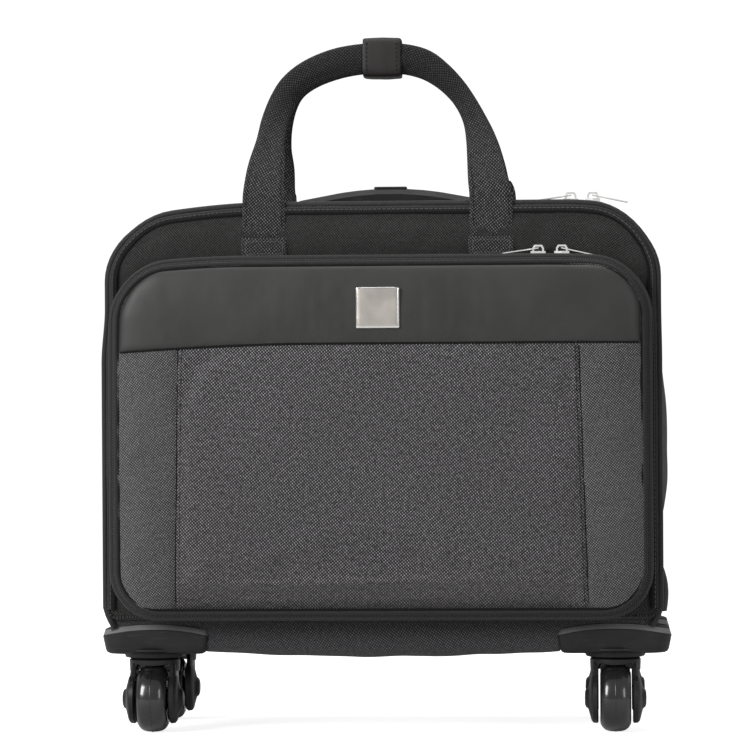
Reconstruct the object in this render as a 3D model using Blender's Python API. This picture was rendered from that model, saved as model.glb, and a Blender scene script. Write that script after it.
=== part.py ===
"""Four-wheel rolling laptop case: soft body on spinner casters, with a telescopic trolley handle.

Frame: X is the width, the front faces -Y, +Z is up, and the floor under the middle of the case is
the origin. Everything is in metres.
"""
import math

import bmesh
import bpy
from mathutils import Vector

# ---------------------------------------------------------------- driving dimensions
GAP = 0.0003                    # clearance between pieces that touch

# depth stations, front to rear
BADGE_FRONT = -0.1080
BAND_FRONT = -0.1052
PANEL_FRONT = -0.1034
PANEL_REAR = -0.0894
LID_FRONT = -0.0742
LID_REAR = -0.0422
SHELL_FRONT = -0.0356
SHELL_REAR = 0.1080

# main body outline
BODY_HALF_WIDTH = 0.222
BODY_BOTTOM = 0.0943
BODY_TOP = 0.4250
BODY_TOP_RADIUS = 0.050
BODY_BOTTOM_RADIUS = 0.012
BODY_WALL = 0.004
PIPING_RADIUS = 0.0023
PIPING_OFFSET = 0.0027          # from the cloth edge out to the piping's centre

# bottom tray between the wheel housings
TRAY_BOTTOM = 0.0640
TRAY_TOP = 0.0940
TRAY_FRONT = -0.0690
TRAY_REAR = 0.1030
TRAY_HALF_WIDTH = 0.2205
TRAY_WALL = 0.003
LID_HINGE_Z = 0.0890            # fold line along the lower front edge

# front pocket
POCKET_HALF_WIDTH = 0.214
POCKET_BOTTOM = 0.097
POCKET_TOP = 0.381
POCKET_TOP_RADIUS = 0.042
POCKET_BOTTOM_RADIUS = 0.036
POCKET_WALL = 0.0035
GUSSET_OFFSET = 0.002
BAND_INSET = 0.0045
BAND_SEAM = 0.3150              # lower edge of the smooth band
BADGE_WIDTH = 0.0345
BADGE_HEIGHT = 0.0325
BADGE_CENTRE_Z = 0.3430

# spinner casters
CASTER_X = 0.188
FRONT_SWIVEL_Y = -0.046
REAR_SWIVEL_Y = 0.078
CASTER_TRAIL = 0.012
WHEEL_RADIUS = 0.027
WHEEL_HALF_WIDTH = 0.0125
WHEEL_CLEARANCE = 0.0015
CHEEK_RADIUS = 0.0205
CHEEK_OUTER = 0.025
AXLE_RADIUS = 0.003
NECK_RADIUS = 0.0212
NECK_BOTTOM = 0.0460
NECK_TOP = 0.0597
BOSS_BOTTOM = 0.0600
BOSS_RADIUS = 0.0246
HOUSING_BOTTOM = 0.0640
HOUSING_TOP = 0.0886
HOUSING_SHOULDER = 0.0835
HOUSING_INNER_X = 0.1420
HOUSING_OUTER_X = 0.2240
HOUSING_FRONT_REACH = 0.0272    # housing depth on each side of the swivel axis
STEM_RADIUS = 0.0045

# carry handles
CUFF_PLANE_Y = -0.018           # the two straps meet on this plane
CUFF_HALF_LENGTH = 0.0165
CUFF_BOTTOM = 0.5340
CUFF_TOP = 0.5660
CUFF_DEPTH = 0.0165
CUFF_WALL = 0.0030
STRAP_BASE_THICKNESS = 0.0032
STRAP_GRIP_THICKNESS = 0.0110
FRONT_STRAP_Y = -0.0762
FRONT_STRAP_FOOT = 0.4015
REAR_STRAP_Y = 0.0400
REAR_STRAP_FOOT = 0.4283
PATCH_WIDTH = 0.037
PATCH_HEIGHT = 0.017
STRAP_LEFT_FOOT_X = 0.0937
STRAP_RIGHT_FOOT_X = 0.0900
# The straps' slack arch, as (x, z, width) from left to right: its right shoulder hangs further in.
STRAP_LINE = [(-0.0932, 0.4472, 0.0318), (-0.0915, 0.4638, 0.0290), (-0.0899, 0.4808, 0.0232),
              (-0.0872, 0.4979, 0.0222), (-0.0815, 0.5150, 0.0218), (-0.0730, 0.5280, 0.0222),
              (-0.0580, 0.5385, 0.0232), (-0.0380, 0.5460, 0.0240), (-0.0180, 0.5495, 0.0240),
              (0.0000, 0.5500, 0.0240), (0.0180, 0.5492, 0.0240), (0.0340, 0.5450, 0.0235),
              (0.0470, 0.5368, 0.0208), (0.0585, 0.5260, 0.0185), (0.0675, 0.5140, 0.0175),
              (0.0758, 0.4979, 0.0192), (0.0815, 0.4808, 0.0245), (0.0848, 0.4638, 0.0285),
              (0.0872, 0.4472, 0.0315)]

# telescopic trolley
TUBE_X = 0.056
TUBE_Y = 0.087
OUTER_TUBE = (0.0220, 0.0120)   # width and depth of each stage
MIDDLE_TUBE = (0.0190, 0.0090)
INNER_TUBE = (0.0164, 0.0064)
OUTER_TUBE_WALL = 0.0012
MIDDLE_TUBE_WALL = 0.0010
INNER_TUBE_WALL = 0.0010
BOARD_THICKNESS = 0.0030
BEZEL_FLOOR = 0.4100
BEZEL_RECESS = 0.4140
BEZEL_RIM = 0.4285
GRIP_HALF_WIDTH = 0.078
GRIP_DEPTH = 0.0170
GRIP_PEAK = 0.4490
GRIP_END = 0.4390
GRIP_UNDERSIDE = 0.4300
BUTTON_HALF_WIDTH = 0.014
BUTTON_DEPTH = 0.0080
BUTTON_TRAVEL = 0.0030

# zips
SLIDER_LENGTH = 0.0120
SLIDER_WIDTH = 0.0084
SLIDER_HEIGHT = 0.0045
PULL_PIVOT = 0.0074             # pivot height above the chain
PULL_LENGTH = 0.0290
PULL_DROOP = {"main_left": 8, "main_right": 12, "pocket_left": 8, "pocket_right": 13}    # degrees
CHAIN_CROWN = 0.0025            # how far the main zip stands above the cloth
MAIN_SLIDERS_X = (0.1540, 0.1720)
POCKET_SLIDERS_X = (0.1280, 0.1470)
POCKET_ZIP_Y = -0.0840

SIDES = (("left", -1), ("right", 1))
CORNERS = [(end + "_" + side, sign * CASTER_X, y)
           for end, y in (("front", FRONT_SWIVEL_Y), ("rear", REAR_SWIVEL_Y))
           for side, sign in SIDES]


# ---------------------------------------------------------------- materials
def make_material(name, colour, roughness, metallic=0.0):
    material = bpy.data.materials.new(name)
    material.use_nodes = True
    shader = material.node_tree.nodes["Principled BSDF"]
    shader.inputs["Base Color"].default_value = (*colour, 1.0)
    shader.inputs["Roughness"].default_value = roughness
    shader.inputs["Metallic"].default_value = metallic
    return material


def material_palette():
    return {
        "ballistic": make_material("ballistic", (0.060, 0.058, 0.062), 0.85),
        "body_cloth": make_material("body_cloth", (0.030, 0.030, 0.031), 0.90),
        "smooth_band": make_material("smooth_band", (0.055, 0.055, 0.054), 0.55),
        "piping": make_material("piping", (0.020, 0.020, 0.021), 0.60),
        "webbing": make_material("webbing", (0.028, 0.027, 0.028), 0.85),
        "cuff_leather": make_material("cuff_leather", (0.030, 0.024, 0.022), 0.50),
        "housing_plastic": make_material("housing_plastic", (0.045, 0.044, 0.043), 0.55),
        "wheel_rubber": make_material("wheel_rubber", (0.008, 0.008, 0.009), 0.22),
        "chrome_zip": make_material("chrome_zip", (0.72, 0.72, 0.71), 0.18, 1.0),
        "satin_badge": make_material("satin_badge", (0.52, 0.49, 0.46), 0.35, 1.0),
        "steel": make_material("steel", (0.40, 0.40, 0.41), 0.35, 1.0),
        "tube_aluminium": make_material("tube_aluminium", (0.30, 0.30, 0.31), 0.35, 1.0),
        "lining_board": make_material("lining_board", (0.050, 0.052, 0.055), 0.90),
        "grip_plastic": make_material("grip_plastic", (0.015, 0.015, 0.016), 0.45),
    }


# ---------------------------------------------------------------- mesh helpers
def add_object(name, bm, material, smooth_angle=None):
    bmesh.ops.recalc_face_normals(bm, faces=bm.faces)
    mesh = bpy.data.meshes.new(name)
    bm.to_mesh(mesh)
    bm.free()
    mesh.materials.append(material)
    if smooth_angle:
        mesh.shade_smooth()
        mesh.set_sharp_from_angle(angle=math.radians(smooth_angle))
    obj = bpy.data.objects.new(name, mesh)
    bpy.context.scene.collection.objects.link(obj)
    return obj


def place_origin(obj, point):
    """Move the object's origin to a world point and leave its shape where it is."""
    shift = Vector(point)
    for vertex in obj.data.vertices:
        vertex.co -= shift
    obj.location = shift
    return obj


def loft(rings, closed=False):
    """Skin rings of equal point counts; closed joins the last ring to the first one."""
    bm = bmesh.new()
    loops = [[bm.verts.new(point) for point in ring] for ring in rings]
    count = len(rings[0])
    pairs = list(zip(loops, loops[1:]))
    if closed:
        pairs.append((loops[-1], loops[0]))
    for first, second in pairs:
        for i in range(count):
            j = (i + 1) % count
            bm.faces.new((first[i], first[j], second[j], second[i]))
    if not closed:
        bm.faces.new(loops[0])
        bm.faces.new(loops[-1])
    return bm


def arc(centre, radius, start_deg, end_deg, segments):
    """Points of an arc in a plane, ends included."""
    points = []
    for i in range(segments + 1):
        angle = math.radians(start_deg + (end_deg - start_deg) * i / segments)
        points.append((centre[0] + radius * math.cos(angle), centre[1] + radius * math.sin(angle)))
    return points


def rounded_outline(half_width, bottom, top, top_radius, bottom_radius, segments=7):
    """Rounded rectangle, symmetric about the vertical, from lower right round to lower left."""
    right_top = (half_width - top_radius, top - top_radius)
    right_low = (half_width - bottom_radius, bottom + bottom_radius)
    right = arc(right_low, bottom_radius, -90, 0, segments)
    right += arc(right_top, top_radius, 0, 90, segments)
    return right + [(-x, z) for x, z in reversed(right)]


def offset_outline(half_width, bottom, top, top_radius, bottom_radius, by, segments=7):
    """The same rounded rectangle grown outwards by a distance, or shrunk by a negative one."""
    return rounded_outline(half_width + by, bottom - by, top + by,
                           top_radius + by, max(bottom_radius + by, 0.002), segments)


def body_outline(by=0.0):
    return offset_outline(BODY_HALF_WIDTH, BODY_BOTTOM, BODY_TOP, BODY_TOP_RADIUS,
                          BODY_BOTTOM_RADIUS, by)


def pocket_outline(by=0.0):
    return offset_outline(POCKET_HALF_WIDTH, POCKET_BOTTOM, POCKET_TOP, POCKET_TOP_RADIUS,
                          POCKET_BOTTOM_RADIUS, by)


def at_y(outline, y):
    return [(x, y, z) for x, z in outline]


def at_z(outline, z):
    return [(x, y, z) for x, y in outline]


def rectangle(centre, width, depth, radius=0.0, segments=3):
    """Rectangle with rounded corners round a centre, as plan points."""
    half = (width / 2 - radius, depth / 2 - radius)
    if radius == 0.0:
        return [(centre[0] + sx * half[0], centre[1] + sy * half[1])
                for sx, sy in ((1, -1), (1, 1), (-1, 1), (-1, -1))]
    points = []
    for sx, sy, start in ((1, -1, -90), (1, 1, 0), (-1, 1, 90), (-1, -1, 180)):
        corner = (centre[0] + sx * half[0], centre[1] + sy * half[1])
        points += arc(corner, radius, start, start + 90, segments)
    return points


def block(name, low, high, material, radius=0.0):
    """Upright block between two corners, with rounded vertical edges if a radius is given."""
    centre = ((low[0] + high[0]) / 2, (low[1] + high[1]) / 2)
    plan = rectangle(centre, high[0] - low[0], high[1] - low[1], radius)
    return add_object(name, loft([at_z(plan, low[2]), at_z(plan, high[2])]), material)


def turned(name, profile, centre, axis, material, segments=40):
    """Solid of revolution: profile is (radius, distance along axis), both ends on the axis line."""
    rings = []
    for radius, along in profile:
        ring = []
        for i in range(segments):
            angle = 2 * math.pi * i / segments
            u = radius * math.cos(angle)
            v = radius * math.sin(angle)
            if axis == "X":
                ring.append((centre[0] + along, centre[1] + u, centre[2] + v))
            else:
                ring.append((centre[0] + u, centre[1] + v, centre[2] + along))
        rings.append(ring)
    return add_object(name, loft(rings), material, smooth_angle=35)


def turned_ring(name, profile, centre, material, segments=32):
    """Solid of revolution round X whose closed profile stays off the axis, such as a wheel."""
    rings = []
    for radius, along in profile:
        rings.append([(centre[0] + along,
                       centre[1] + radius * math.cos(2 * math.pi * i / segments),
                       centre[2] + radius * math.sin(2 * math.pi * i / segments))
                      for i in range(segments)])
    return add_object(name, loft(rings, closed=True), material, smooth_angle=35)


def as_cutter(obj):
    obj.hide_render = True
    obj.display_type = "WIRE"
    return obj


def combine(target, tool, operation):
    """Boolean that stays on the target, with its tool kept as a wire guide."""
    modifier = target.modifiers.new(operation.lower() + "_" + tool.name, "BOOLEAN")
    modifier.operation = operation
    modifier.solver = "EXACT"
    modifier.object = as_cutter(tool)


def cord_ring(name, outline, y, radius, material):
    """Round cord sewn round a closed outline."""
    curve = bpy.data.curves.new(name, "CURVE")
    curve.dimensions = "3D"
    curve.bevel_depth = radius
    curve.bevel_resolution = 1
    spline = curve.splines.new("POLY")
    spline.points.add(len(outline) - 1)
    for point, (x, z) in zip(spline.points, outline):
        point.co = (x, y, z, 1.0)
    spline.use_cyclic_u = True
    curve.materials.append(material)
    obj = bpy.data.objects.new(name, curve)
    bpy.context.scene.collection.objects.link(obj)
    return obj


def joint_empty(name, point, parent=None):
    empty = bpy.data.objects.new(name, None)
    empty.empty_display_size = 0.02
    empty.location = point
    if parent:
        empty.parent = parent
        empty.matrix_parent_inverse.identity()
        empty.location = Vector(point) - parent.matrix_world.translation
    bpy.context.scene.collection.objects.link(empty)
    bpy.context.view_layer.update()
    return empty


def hang_on(empty, *pieces):
    """Parent pieces to a joint's empty and keep them where they are."""
    for piece in pieces:
        piece.parent = empty
        piece.matrix_parent_inverse = empty.matrix_world.inverted()


# ---------------------------------------------------------------- body
def tray(name, outer, inner, closed_y, floor_y, open_y, material):
    """Open box with a closed end, such as half of the case body."""
    rings = [at_y(outer, closed_y), at_y(outer, open_y), at_y(inner, open_y), at_y(inner, floor_y)]
    return add_object(name, loft(rings), material)


def build_rear_shell(mats):
    shell = tray("rear_shell", body_outline(), body_outline(-BODY_WALL), SHELL_REAR,
                 SHELL_REAR - BODY_WALL, SHELL_FRONT, mats["body_cloth"])
    slot = block("bezel_slot", (-0.0855, 0.0725, BODY_TOP - 0.010), (0.0855, 0.0985, BODY_TOP + 0.010),
                 mats["body_cloth"])
    combine(shell, slot, "DIFFERENCE")
    return shell


def build_bottom_tray(mats):
    """Cross-shaped open tray: narrow between the wheel housings, full width between the axles."""
    narrow = HOUSING_INNER_X - GAP
    front_step = FRONT_SWIVEL_Y + HOUSING_FRONT_REACH + GAP
    rear_step = REAR_SWIVEL_Y - HOUSING_FRONT_REACH - GAP

    def cross(inset):
        n = narrow - inset
        w = TRAY_HALF_WIDTH - inset
        front = TRAY_FRONT + inset
        rear = TRAY_REAR - inset
        low = front_step + inset
        high = rear_step - inset
        right = [(n, front), (n, low), (w, low), (w, high), (n, high), (n, rear)]
        return right + [(-x, y) for x, y in reversed(right)]

    rings = [at_z(cross(0.0), TRAY_BOTTOM), at_z(cross(0.0), TRAY_TOP),
             at_z(cross(TRAY_WALL), TRAY_TOP), at_z(cross(TRAY_WALL), TRAY_BOTTOM + TRAY_WALL)]
    return add_object("bottom_tray", loft(rings), mats["body_cloth"])


def build_boards(mats):
    floor = BODY_BOTTOM + BODY_WALL + GAP
    half = BODY_HALF_WIDTH - BODY_WALL - 0.008
    block("base_board", (-half, SHELL_FRONT + 0.004, floor), (half, 0.0765, floor + BOARD_THICKNESS),
          mats["lining_board"])
    standing = floor + BOARD_THICKNESS + GAP
    outline = rounded_outline(half, standing, BODY_TOP - BODY_WALL - 0.008, 0.040, 0.006)
    add_object("back_board", loft([at_y(outline, 0.0680), at_y(outline, 0.0705)]), mats["lining_board"])
    pad = rounded_outline(0.196, standing, 0.335, 0.025, 0.006)
    pad_face = rounded_outline(0.193, standing + 0.003, 0.332, 0.022, 0.005)
    rings = [at_y(pad_face, 0.0440), at_y(pad, 0.0460), at_y(pad, 0.0500), at_y(pad_face, 0.0520)]
    add_object("laptop_divider", loft(rings), mats["body_cloth"])


def build_zip_chain(mats):
    """Arch of closed zip teeth between the two halves of the body, ending above the hinge line."""
    corner = (BODY_HALF_WIDTH - BODY_TOP_RADIUS, BODY_TOP - BODY_TOP_RADIUS)
    foot = BODY_BOTTOM + 0.014
    depth = 0.003
    outer = [(BODY_HALF_WIDTH + CHAIN_CROWN, foot)] + arc(corner, BODY_TOP_RADIUS + CHAIN_CROWN, 0, 90, 7)
    inner = [(BODY_HALF_WIDTH - depth, foot)] + arc(corner, BODY_TOP_RADIUS - depth, 0, 90, 7)
    stations = list(zip(outer, inner))
    stations += [((-o[0], o[1]), (-i[0], i[1])) for o, i in reversed(stations)]
    front = LID_REAR + GAP
    rear = SHELL_FRONT - GAP
    rings = [[(o[0], front, o[1]), (o[0], rear, o[1]), (i[0], rear, i[1]), (i[0], front, i[1])]
             for o, i in stations]
    return add_object("main_zip_chain", loft(rings), mats["piping"])


def build_rear_guards(mats):
    """Moulded skid plates on the sides, above the rear wheels."""
    for side, sign in SIDES:
        inner = sign * (BODY_HALF_WIDTH + GAP)
        sections = ((0.0905, 0.048, 0.098, 0.0067), (0.1000, 0.048, 0.098, 0.0062),
                    (0.1250, 0.056, 0.098, 0.0040), (0.1450, 0.070, 0.094, 0.0018))
        rings = []
        for z, front, rear, thickness in sections:
            outer = inner + sign * thickness
            edge = inner + sign * thickness * 0.5
            rings.append([(inner, front, z), (edge, front, z), (outer, front + 0.004, z),
                          (outer, rear - 0.003, z), (edge, rear, z), (inner, rear, z)])
        add_object("rear_guard_" + side, loft(rings), mats["housing_plastic"], smooth_angle=40)


def build_lid(mats):
    shell = tray("lid_shell", body_outline(), body_outline(-BODY_WALL), LID_FRONT,
                 LID_FRONT + BODY_WALL, LID_REAR, mats["body_cloth"])
    piping = cord_ring("lid_piping", body_outline(PIPING_OFFSET), LID_FRONT + PIPING_RADIUS,
                       PIPING_RADIUS, mats["piping"])
    outer = pocket_outline(GUSSET_OFFSET)
    inner = pocket_outline(GUSSET_OFFSET - 0.003)
    front = PANEL_REAR + 0.0006
    rear = LID_FRONT - GAP
    rings = [at_y(outer, front), at_y(outer, rear), at_y(inner, rear), at_y(inner, front)]
    gusset = add_object("pocket_gusset", loft(rings, closed=True), mats["ballistic"])
    pieces = [shell, piping, gusset]
    patch_top = FRONT_STRAP_FOOT - GAP
    for side, sign in SIDES:
        centre = -STRAP_LEFT_FOOT_X if sign < 0 else STRAP_RIGHT_FOOT_X
        patch = block("front_strap_patch_" + side,
                      (centre - PATCH_WIDTH / 2, LID_FRONT - GAP - 0.0026, patch_top - PATCH_HEIGHT),
                      (centre + PATCH_WIDTH / 2, LID_FRONT - GAP, patch_top), mats["webbing"])
        pieces.append(patch)
    return pieces


def build_pocket(mats):
    outer = pocket_outline()
    inner = pocket_outline(-POCKET_WALL)
    rings = [at_y(pocket_outline(-0.0060), PANEL_FRONT), at_y(pocket_outline(-0.0015), PANEL_FRONT + 0.0035),
             at_y(outer, PANEL_FRONT + 0.0075), at_y(outer, PANEL_REAR), at_y(inner, PANEL_REAR),
             at_y(pocket_outline(-0.0075), PANEL_FRONT + POCKET_WALL)]
    panel = add_object("pocket_panel", loft(rings), mats["ballistic"])
    piping = cord_ring("pocket_piping", pocket_outline(PIPING_OFFSET), PANEL_REAR - PIPING_RADIUS,
                       PIPING_RADIUS, mats["piping"])
    radius = POCKET_TOP_RADIUS - BAND_INSET
    band_outline = rounded_outline(POCKET_HALF_WIDTH - BAND_INSET, BAND_SEAM, POCKET_TOP - BAND_INSET,
                                   radius, 0.001)
    band = add_object("smooth_band", loft([at_y(band_outline, BAND_FRONT),
                                           at_y(band_outline, PANEL_FRONT - GAP)]), mats["smooth_band"])
    half_h = BADGE_HEIGHT / 2
    back = rounded_outline(BADGE_WIDTH / 2, BADGE_CENTRE_Z - half_h, BADGE_CENTRE_Z + half_h, 0.0012, 0.0012, 2)
    face = rounded_outline(BADGE_WIDTH / 2 - 0.0008, BADGE_CENTRE_Z - half_h + 0.0008,
                           BADGE_CENTRE_Z + half_h - 0.0008, 0.0010, 0.0010, 2)
    badge = add_object("badge_plate", loft([at_y(face, BADGE_FRONT), at_y(back, BADGE_FRONT + 0.0008),
                                            at_y(back, BAND_FRONT - GAP)]), mats["satin_badge"])
    return [panel, piping, band, badge]


# ---------------------------------------------------------------- carry handles
def smoothstep(value, low, high):
    t = min(max((value - low) / (high - low), 0.0), 1.0)
    return t * t * (3 - 2 * t)


def strap_stations(foot):
    """Centre line of one carry strap as (x, z, width), left foot to right foot."""
    knee = max(foot + 0.012, 0.4310)
    return [(-STRAP_LEFT_FOOT_X, foot, 0.0330), (-STRAP_LEFT_FOOT_X, knee, 0.0330), *STRAP_LINE,
            (STRAP_RIGHT_FOOT_X, knee, 0.0330), (STRAP_RIGHT_FOOT_X, foot, 0.0330)]


def build_strap(name, foot, foot_y, grip_y, mats):
    """Webbing strap: flat at its feet, folded into a thick grip along its top."""
    stations = strap_stations(foot)
    rings = []
    for i, (x, z, width) in enumerate(stations):
        before = stations[max(i - 1, 0)]
        after = stations[min(i + 1, len(stations) - 1)]
        along = Vector((after[0] - before[0], after[1] - before[1])).normalized()
        across = Vector((-along.y, along.x)) * (width / 2)
        lean = smoothstep(z, 0.4340, 0.5330)
        y = foot_y + (grip_y - foot_y) * lean
        fold = smoothstep(z, 0.4500, 0.5200)
        half = (STRAP_BASE_THICKNESS + (STRAP_GRIP_THICKNESS - STRAP_BASE_THICKNESS) * fold) / 2
        edge = half * (1 - 0.45 * fold)
        rings.append([(x + across.x, y - edge, z + across.y), (x + across.x, y + edge, z + across.y),
                      (x, y + half, z), (x - across.x, y + edge, z - across.y),
                      (x - across.x, y - edge, z - across.y), (x, y - half, z)])
    return add_object(name, loft(rings), mats["webbing"])


def build_cuff(name, sign, mats):
    """Half of the leather cuff: a C-shaped wrap that holds one strap's grip."""
    inner_y = CUFF_PLANE_Y + sign * 0.0004
    outer_y = CUFF_PLANE_Y + sign * CUFF_DEPTH
    wall_y = outer_y - sign * CUFF_WALL
    low = CUFF_BOTTOM + 0.0018
    high = CUFF_TOP - 0.0018
    section = [(inner_y, CUFF_BOTTOM), (outer_y - sign * 0.004, CUFF_BOTTOM), (outer_y, CUFF_BOTTOM + 0.005),
               (outer_y, CUFF_TOP - 0.005), (outer_y - sign * 0.004, CUFF_TOP), (inner_y, CUFF_TOP),
               (inner_y, high), (wall_y, high), (wall_y, low), (inner_y, low)]
    rings = [[(x, y, z) for y, z in section] for x in (-CUFF_HALF_LENGTH, CUFF_HALF_LENGTH)]
    return add_object(name, loft(rings), mats["cuff_leather"])


# ---------------------------------------------------------------- casters
def build_housing(corner, x, y, mats):
    """Moulded corner block with an arched top edge and the caster's boss under it."""
    sign = 1 if x > 0 else -1
    width = HOUSING_OUTER_X - HOUSING_INNER_X
    top = []
    for i in range(9):
        t = i / 8
        rise = math.sin(math.pi * t)
        top.append((HOUSING_OUTER_X - width * t,
                    HOUSING_SHOULDER + (HOUSING_TOP - HOUSING_SHOULDER) * rise))
    low_corner = (HOUSING_OUTER_X - 0.014, HOUSING_BOTTOM + 0.014)
    profile = [(HOUSING_INNER_X, HOUSING_BOTTOM)] + arc(low_corner, 0.014, -90, 0, 5) + top
    rings = []
    reach = HOUSING_FRONT_REACH
    for offset, inset in ((-reach, 0.003), (-reach + 0.003, 0.0), (reach - 0.003, 0.0), (reach, 0.003)):
        ring = []
        for px, pz in profile:
            shrink = inset if px > CASTER_X else 0.0
            ring.append((sign * (px - shrink), y + offset, pz))
        rings.append(ring)
    housing = add_object("wheel_housing_" + corner, loft(rings), mats["housing_plastic"], smooth_angle=35)
    boss = turned("boss_" + corner, [(BOSS_RADIUS - 0.0015, BOSS_BOTTOM), (BOSS_RADIUS, BOSS_BOTTOM + 0.0015),
                                     (BOSS_RADIUS, HOUSING_BOTTOM + 0.002)], (x, y, 0), "Z",
                  mats["housing_plastic"], 24)
    combine(housing, boss, "UNION")
    bore = turned("bore_" + corner, [(0.0051, BOSS_BOTTOM - 0.002), (0.0051, 0.0730), (0.0085, 0.0730),
                                     (0.0085, HOUSING_TOP + 0.002)], (x, y, 0), "Z",
                  mats["housing_plastic"], 16)
    combine(housing, bore, "DIFFERENCE")
    return housing


def build_fork(corner, x, y, mats):
    """Swivelling fork: a neck cup over the wheel and a round cheek on each side of it."""
    axle_y = y - CASTER_TRAIL
    fork = turned("caster_fork_" + corner, [(NECK_RADIUS - 0.003, NECK_BOTTOM), (NECK_RADIUS, NECK_BOTTOM + 0.003),
                                            (NECK_RADIUS, NECK_TOP - 0.0015), (NECK_RADIUS - 0.0015, NECK_TOP)],
                  (x, y, 0), "Z", mats["housing_plastic"], 24)
    inner = WHEEL_HALF_WIDTH + WHEEL_CLEARANCE
    for side, sign in SIDES:
        name = corner + "_" + side
        cheek = turned("cheek_" + name, [(CHEEK_RADIUS - 0.001, sign * (inner - 0.0005)),
                                         (CHEEK_RADIUS, sign * (inner + 0.001)),
                                         (CHEEK_RADIUS, sign * (CHEEK_OUTER - 0.0035)),
                                         (CHEEK_RADIUS - 0.0025, sign * (CHEEK_OUTER - 0.0008)),
                                         (0.010, sign * CHEEK_OUTER)],
                       (x, axle_y, WHEEL_RADIUS), "X", mats["housing_plastic"], 24)
        combine(fork, cheek, "UNION")
        arm_x = sorted((x + sign * (inner - 0.0005), x + sign * 0.0195))
        arm = block("arm_" + name, (arm_x[0], axle_y - 0.006, WHEEL_RADIUS + 0.004),
                    (arm_x[1], y + 0.006, NECK_TOP - 0.004), mats["housing_plastic"])
        combine(fork, arm, "UNION")
    clear = WHEEL_RADIUS + WHEEL_CLEARANCE
    wheel_space = turned("wheel_space_" + corner, [(clear, -inner), (clear, inner)],
                         (x, axle_y, WHEEL_RADIUS), "X", mats["housing_plastic"], 32)
    combine(fork, wheel_space, "DIFFERENCE")
    axle_hole = turned("axle_hole_" + corner, [(AXLE_RADIUS + 0.0003, -0.030), (AXLE_RADIUS + 0.0003, 0.030)],
                       (x, axle_y, WHEEL_RADIUS), "X", mats["housing_plastic"], 14)
    combine(fork, axle_hole, "DIFFERENCE")
    stem_hole = turned("stem_hole_" + corner, [(0.0038, NECK_BOTTOM - 0.002), (0.0038, NECK_TOP + 0.002)],
                       (x, y, 0), "Z", mats["housing_plastic"], 14)
    combine(fork, stem_hole, "DIFFERENCE")
    return fork


def build_stem(corner, x, y, mats):
    """Swivel rivet: held in the fork, turning in the housing's bore under its own head."""
    profile = [(0.0034, 0.0562), (0.0034, NECK_TOP + 0.0002), (STEM_RADIUS, NECK_TOP + 0.0002),
               (STEM_RADIUS, 0.0734), (0.0075, 0.0734), (0.0075, 0.0752), (0.0060, 0.0764)]
    return turned("swivel_stem_" + corner, profile, (x, y, 0), "Z", mats["steel"], 14)


def build_wheel(corner, x, y, mats):
    """Crowned wheel with a shallow dish in each face."""
    half = WHEEL_HALF_WIDTH
    crown = []
    for along, drop in ((-half, 0.0052), (-half + 0.0040, 0.0013), (-0.0045, 0.0001), (0.0045, 0.0001),
                        (half - 0.0040, 0.0013), (half, 0.0052)):
        crown.append((WHEEL_RADIUS - drop, along))
    bore = AXLE_RADIUS + 0.0003
    profile = crown + [(0.0150, half - 0.0012), (bore, half - 0.0012),
                       (bore, -half + 0.0012), (0.0150, -half + 0.0012)]
    return turned_ring("wheel_" + corner, profile, (x, y - CASTER_TRAIL, WHEEL_RADIUS), mats["wheel_rubber"])


def build_axle(corner, x, y, mats):
    head = CHEEK_OUTER + GAP
    profile = [(0.0052, -head - 0.0020), (0.0070, -head), (AXLE_RADIUS, -head),
               (AXLE_RADIUS, head), (0.0070, head), (0.0052, head + 0.0020)]
    return turned("axle_" + corner, profile, (x, y - CASTER_TRAIL, WHEEL_RADIUS), "X", mats["grip_plastic"], 14)


def build_casters(mats):
    for corner, x, y in CORNERS:
        build_housing(corner, x, y, mats)
        swivel = joint_empty("swivel_axis_" + corner, (x, y, NECK_TOP))
        fork = build_fork(corner, x, y, mats)
        stem = build_stem(corner, x, y, mats)
        axle = build_axle(corner, x, y, mats)
        hang_on(swivel, fork, stem, axle)
        wheel = place_origin(build_wheel(corner, x, y, mats), (x, y - CASTER_TRAIL, WHEEL_RADIUS))
        bpy.context.view_layer.update()
        hang_on(swivel, wheel)


# ---------------------------------------------------------------- trolley handle
def box_tube(name, x, size, wall, bottom, top, mats):
    """Rectangular tube with rounded corners, open at both ends."""
    outer = rectangle((x, TUBE_Y), size[0], size[1], 0.0022, 3)
    inner = rectangle((x, TUBE_Y), size[0] - 2 * wall, size[1] - 2 * wall, 0.0012, 3)
    rings = [at_z(outer, bottom), at_z(outer, top), at_z(inner, top), at_z(inner, bottom)]
    return add_object(name, loft(rings, closed=True), mats["tube_aluminium"], smooth_angle=40)


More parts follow.
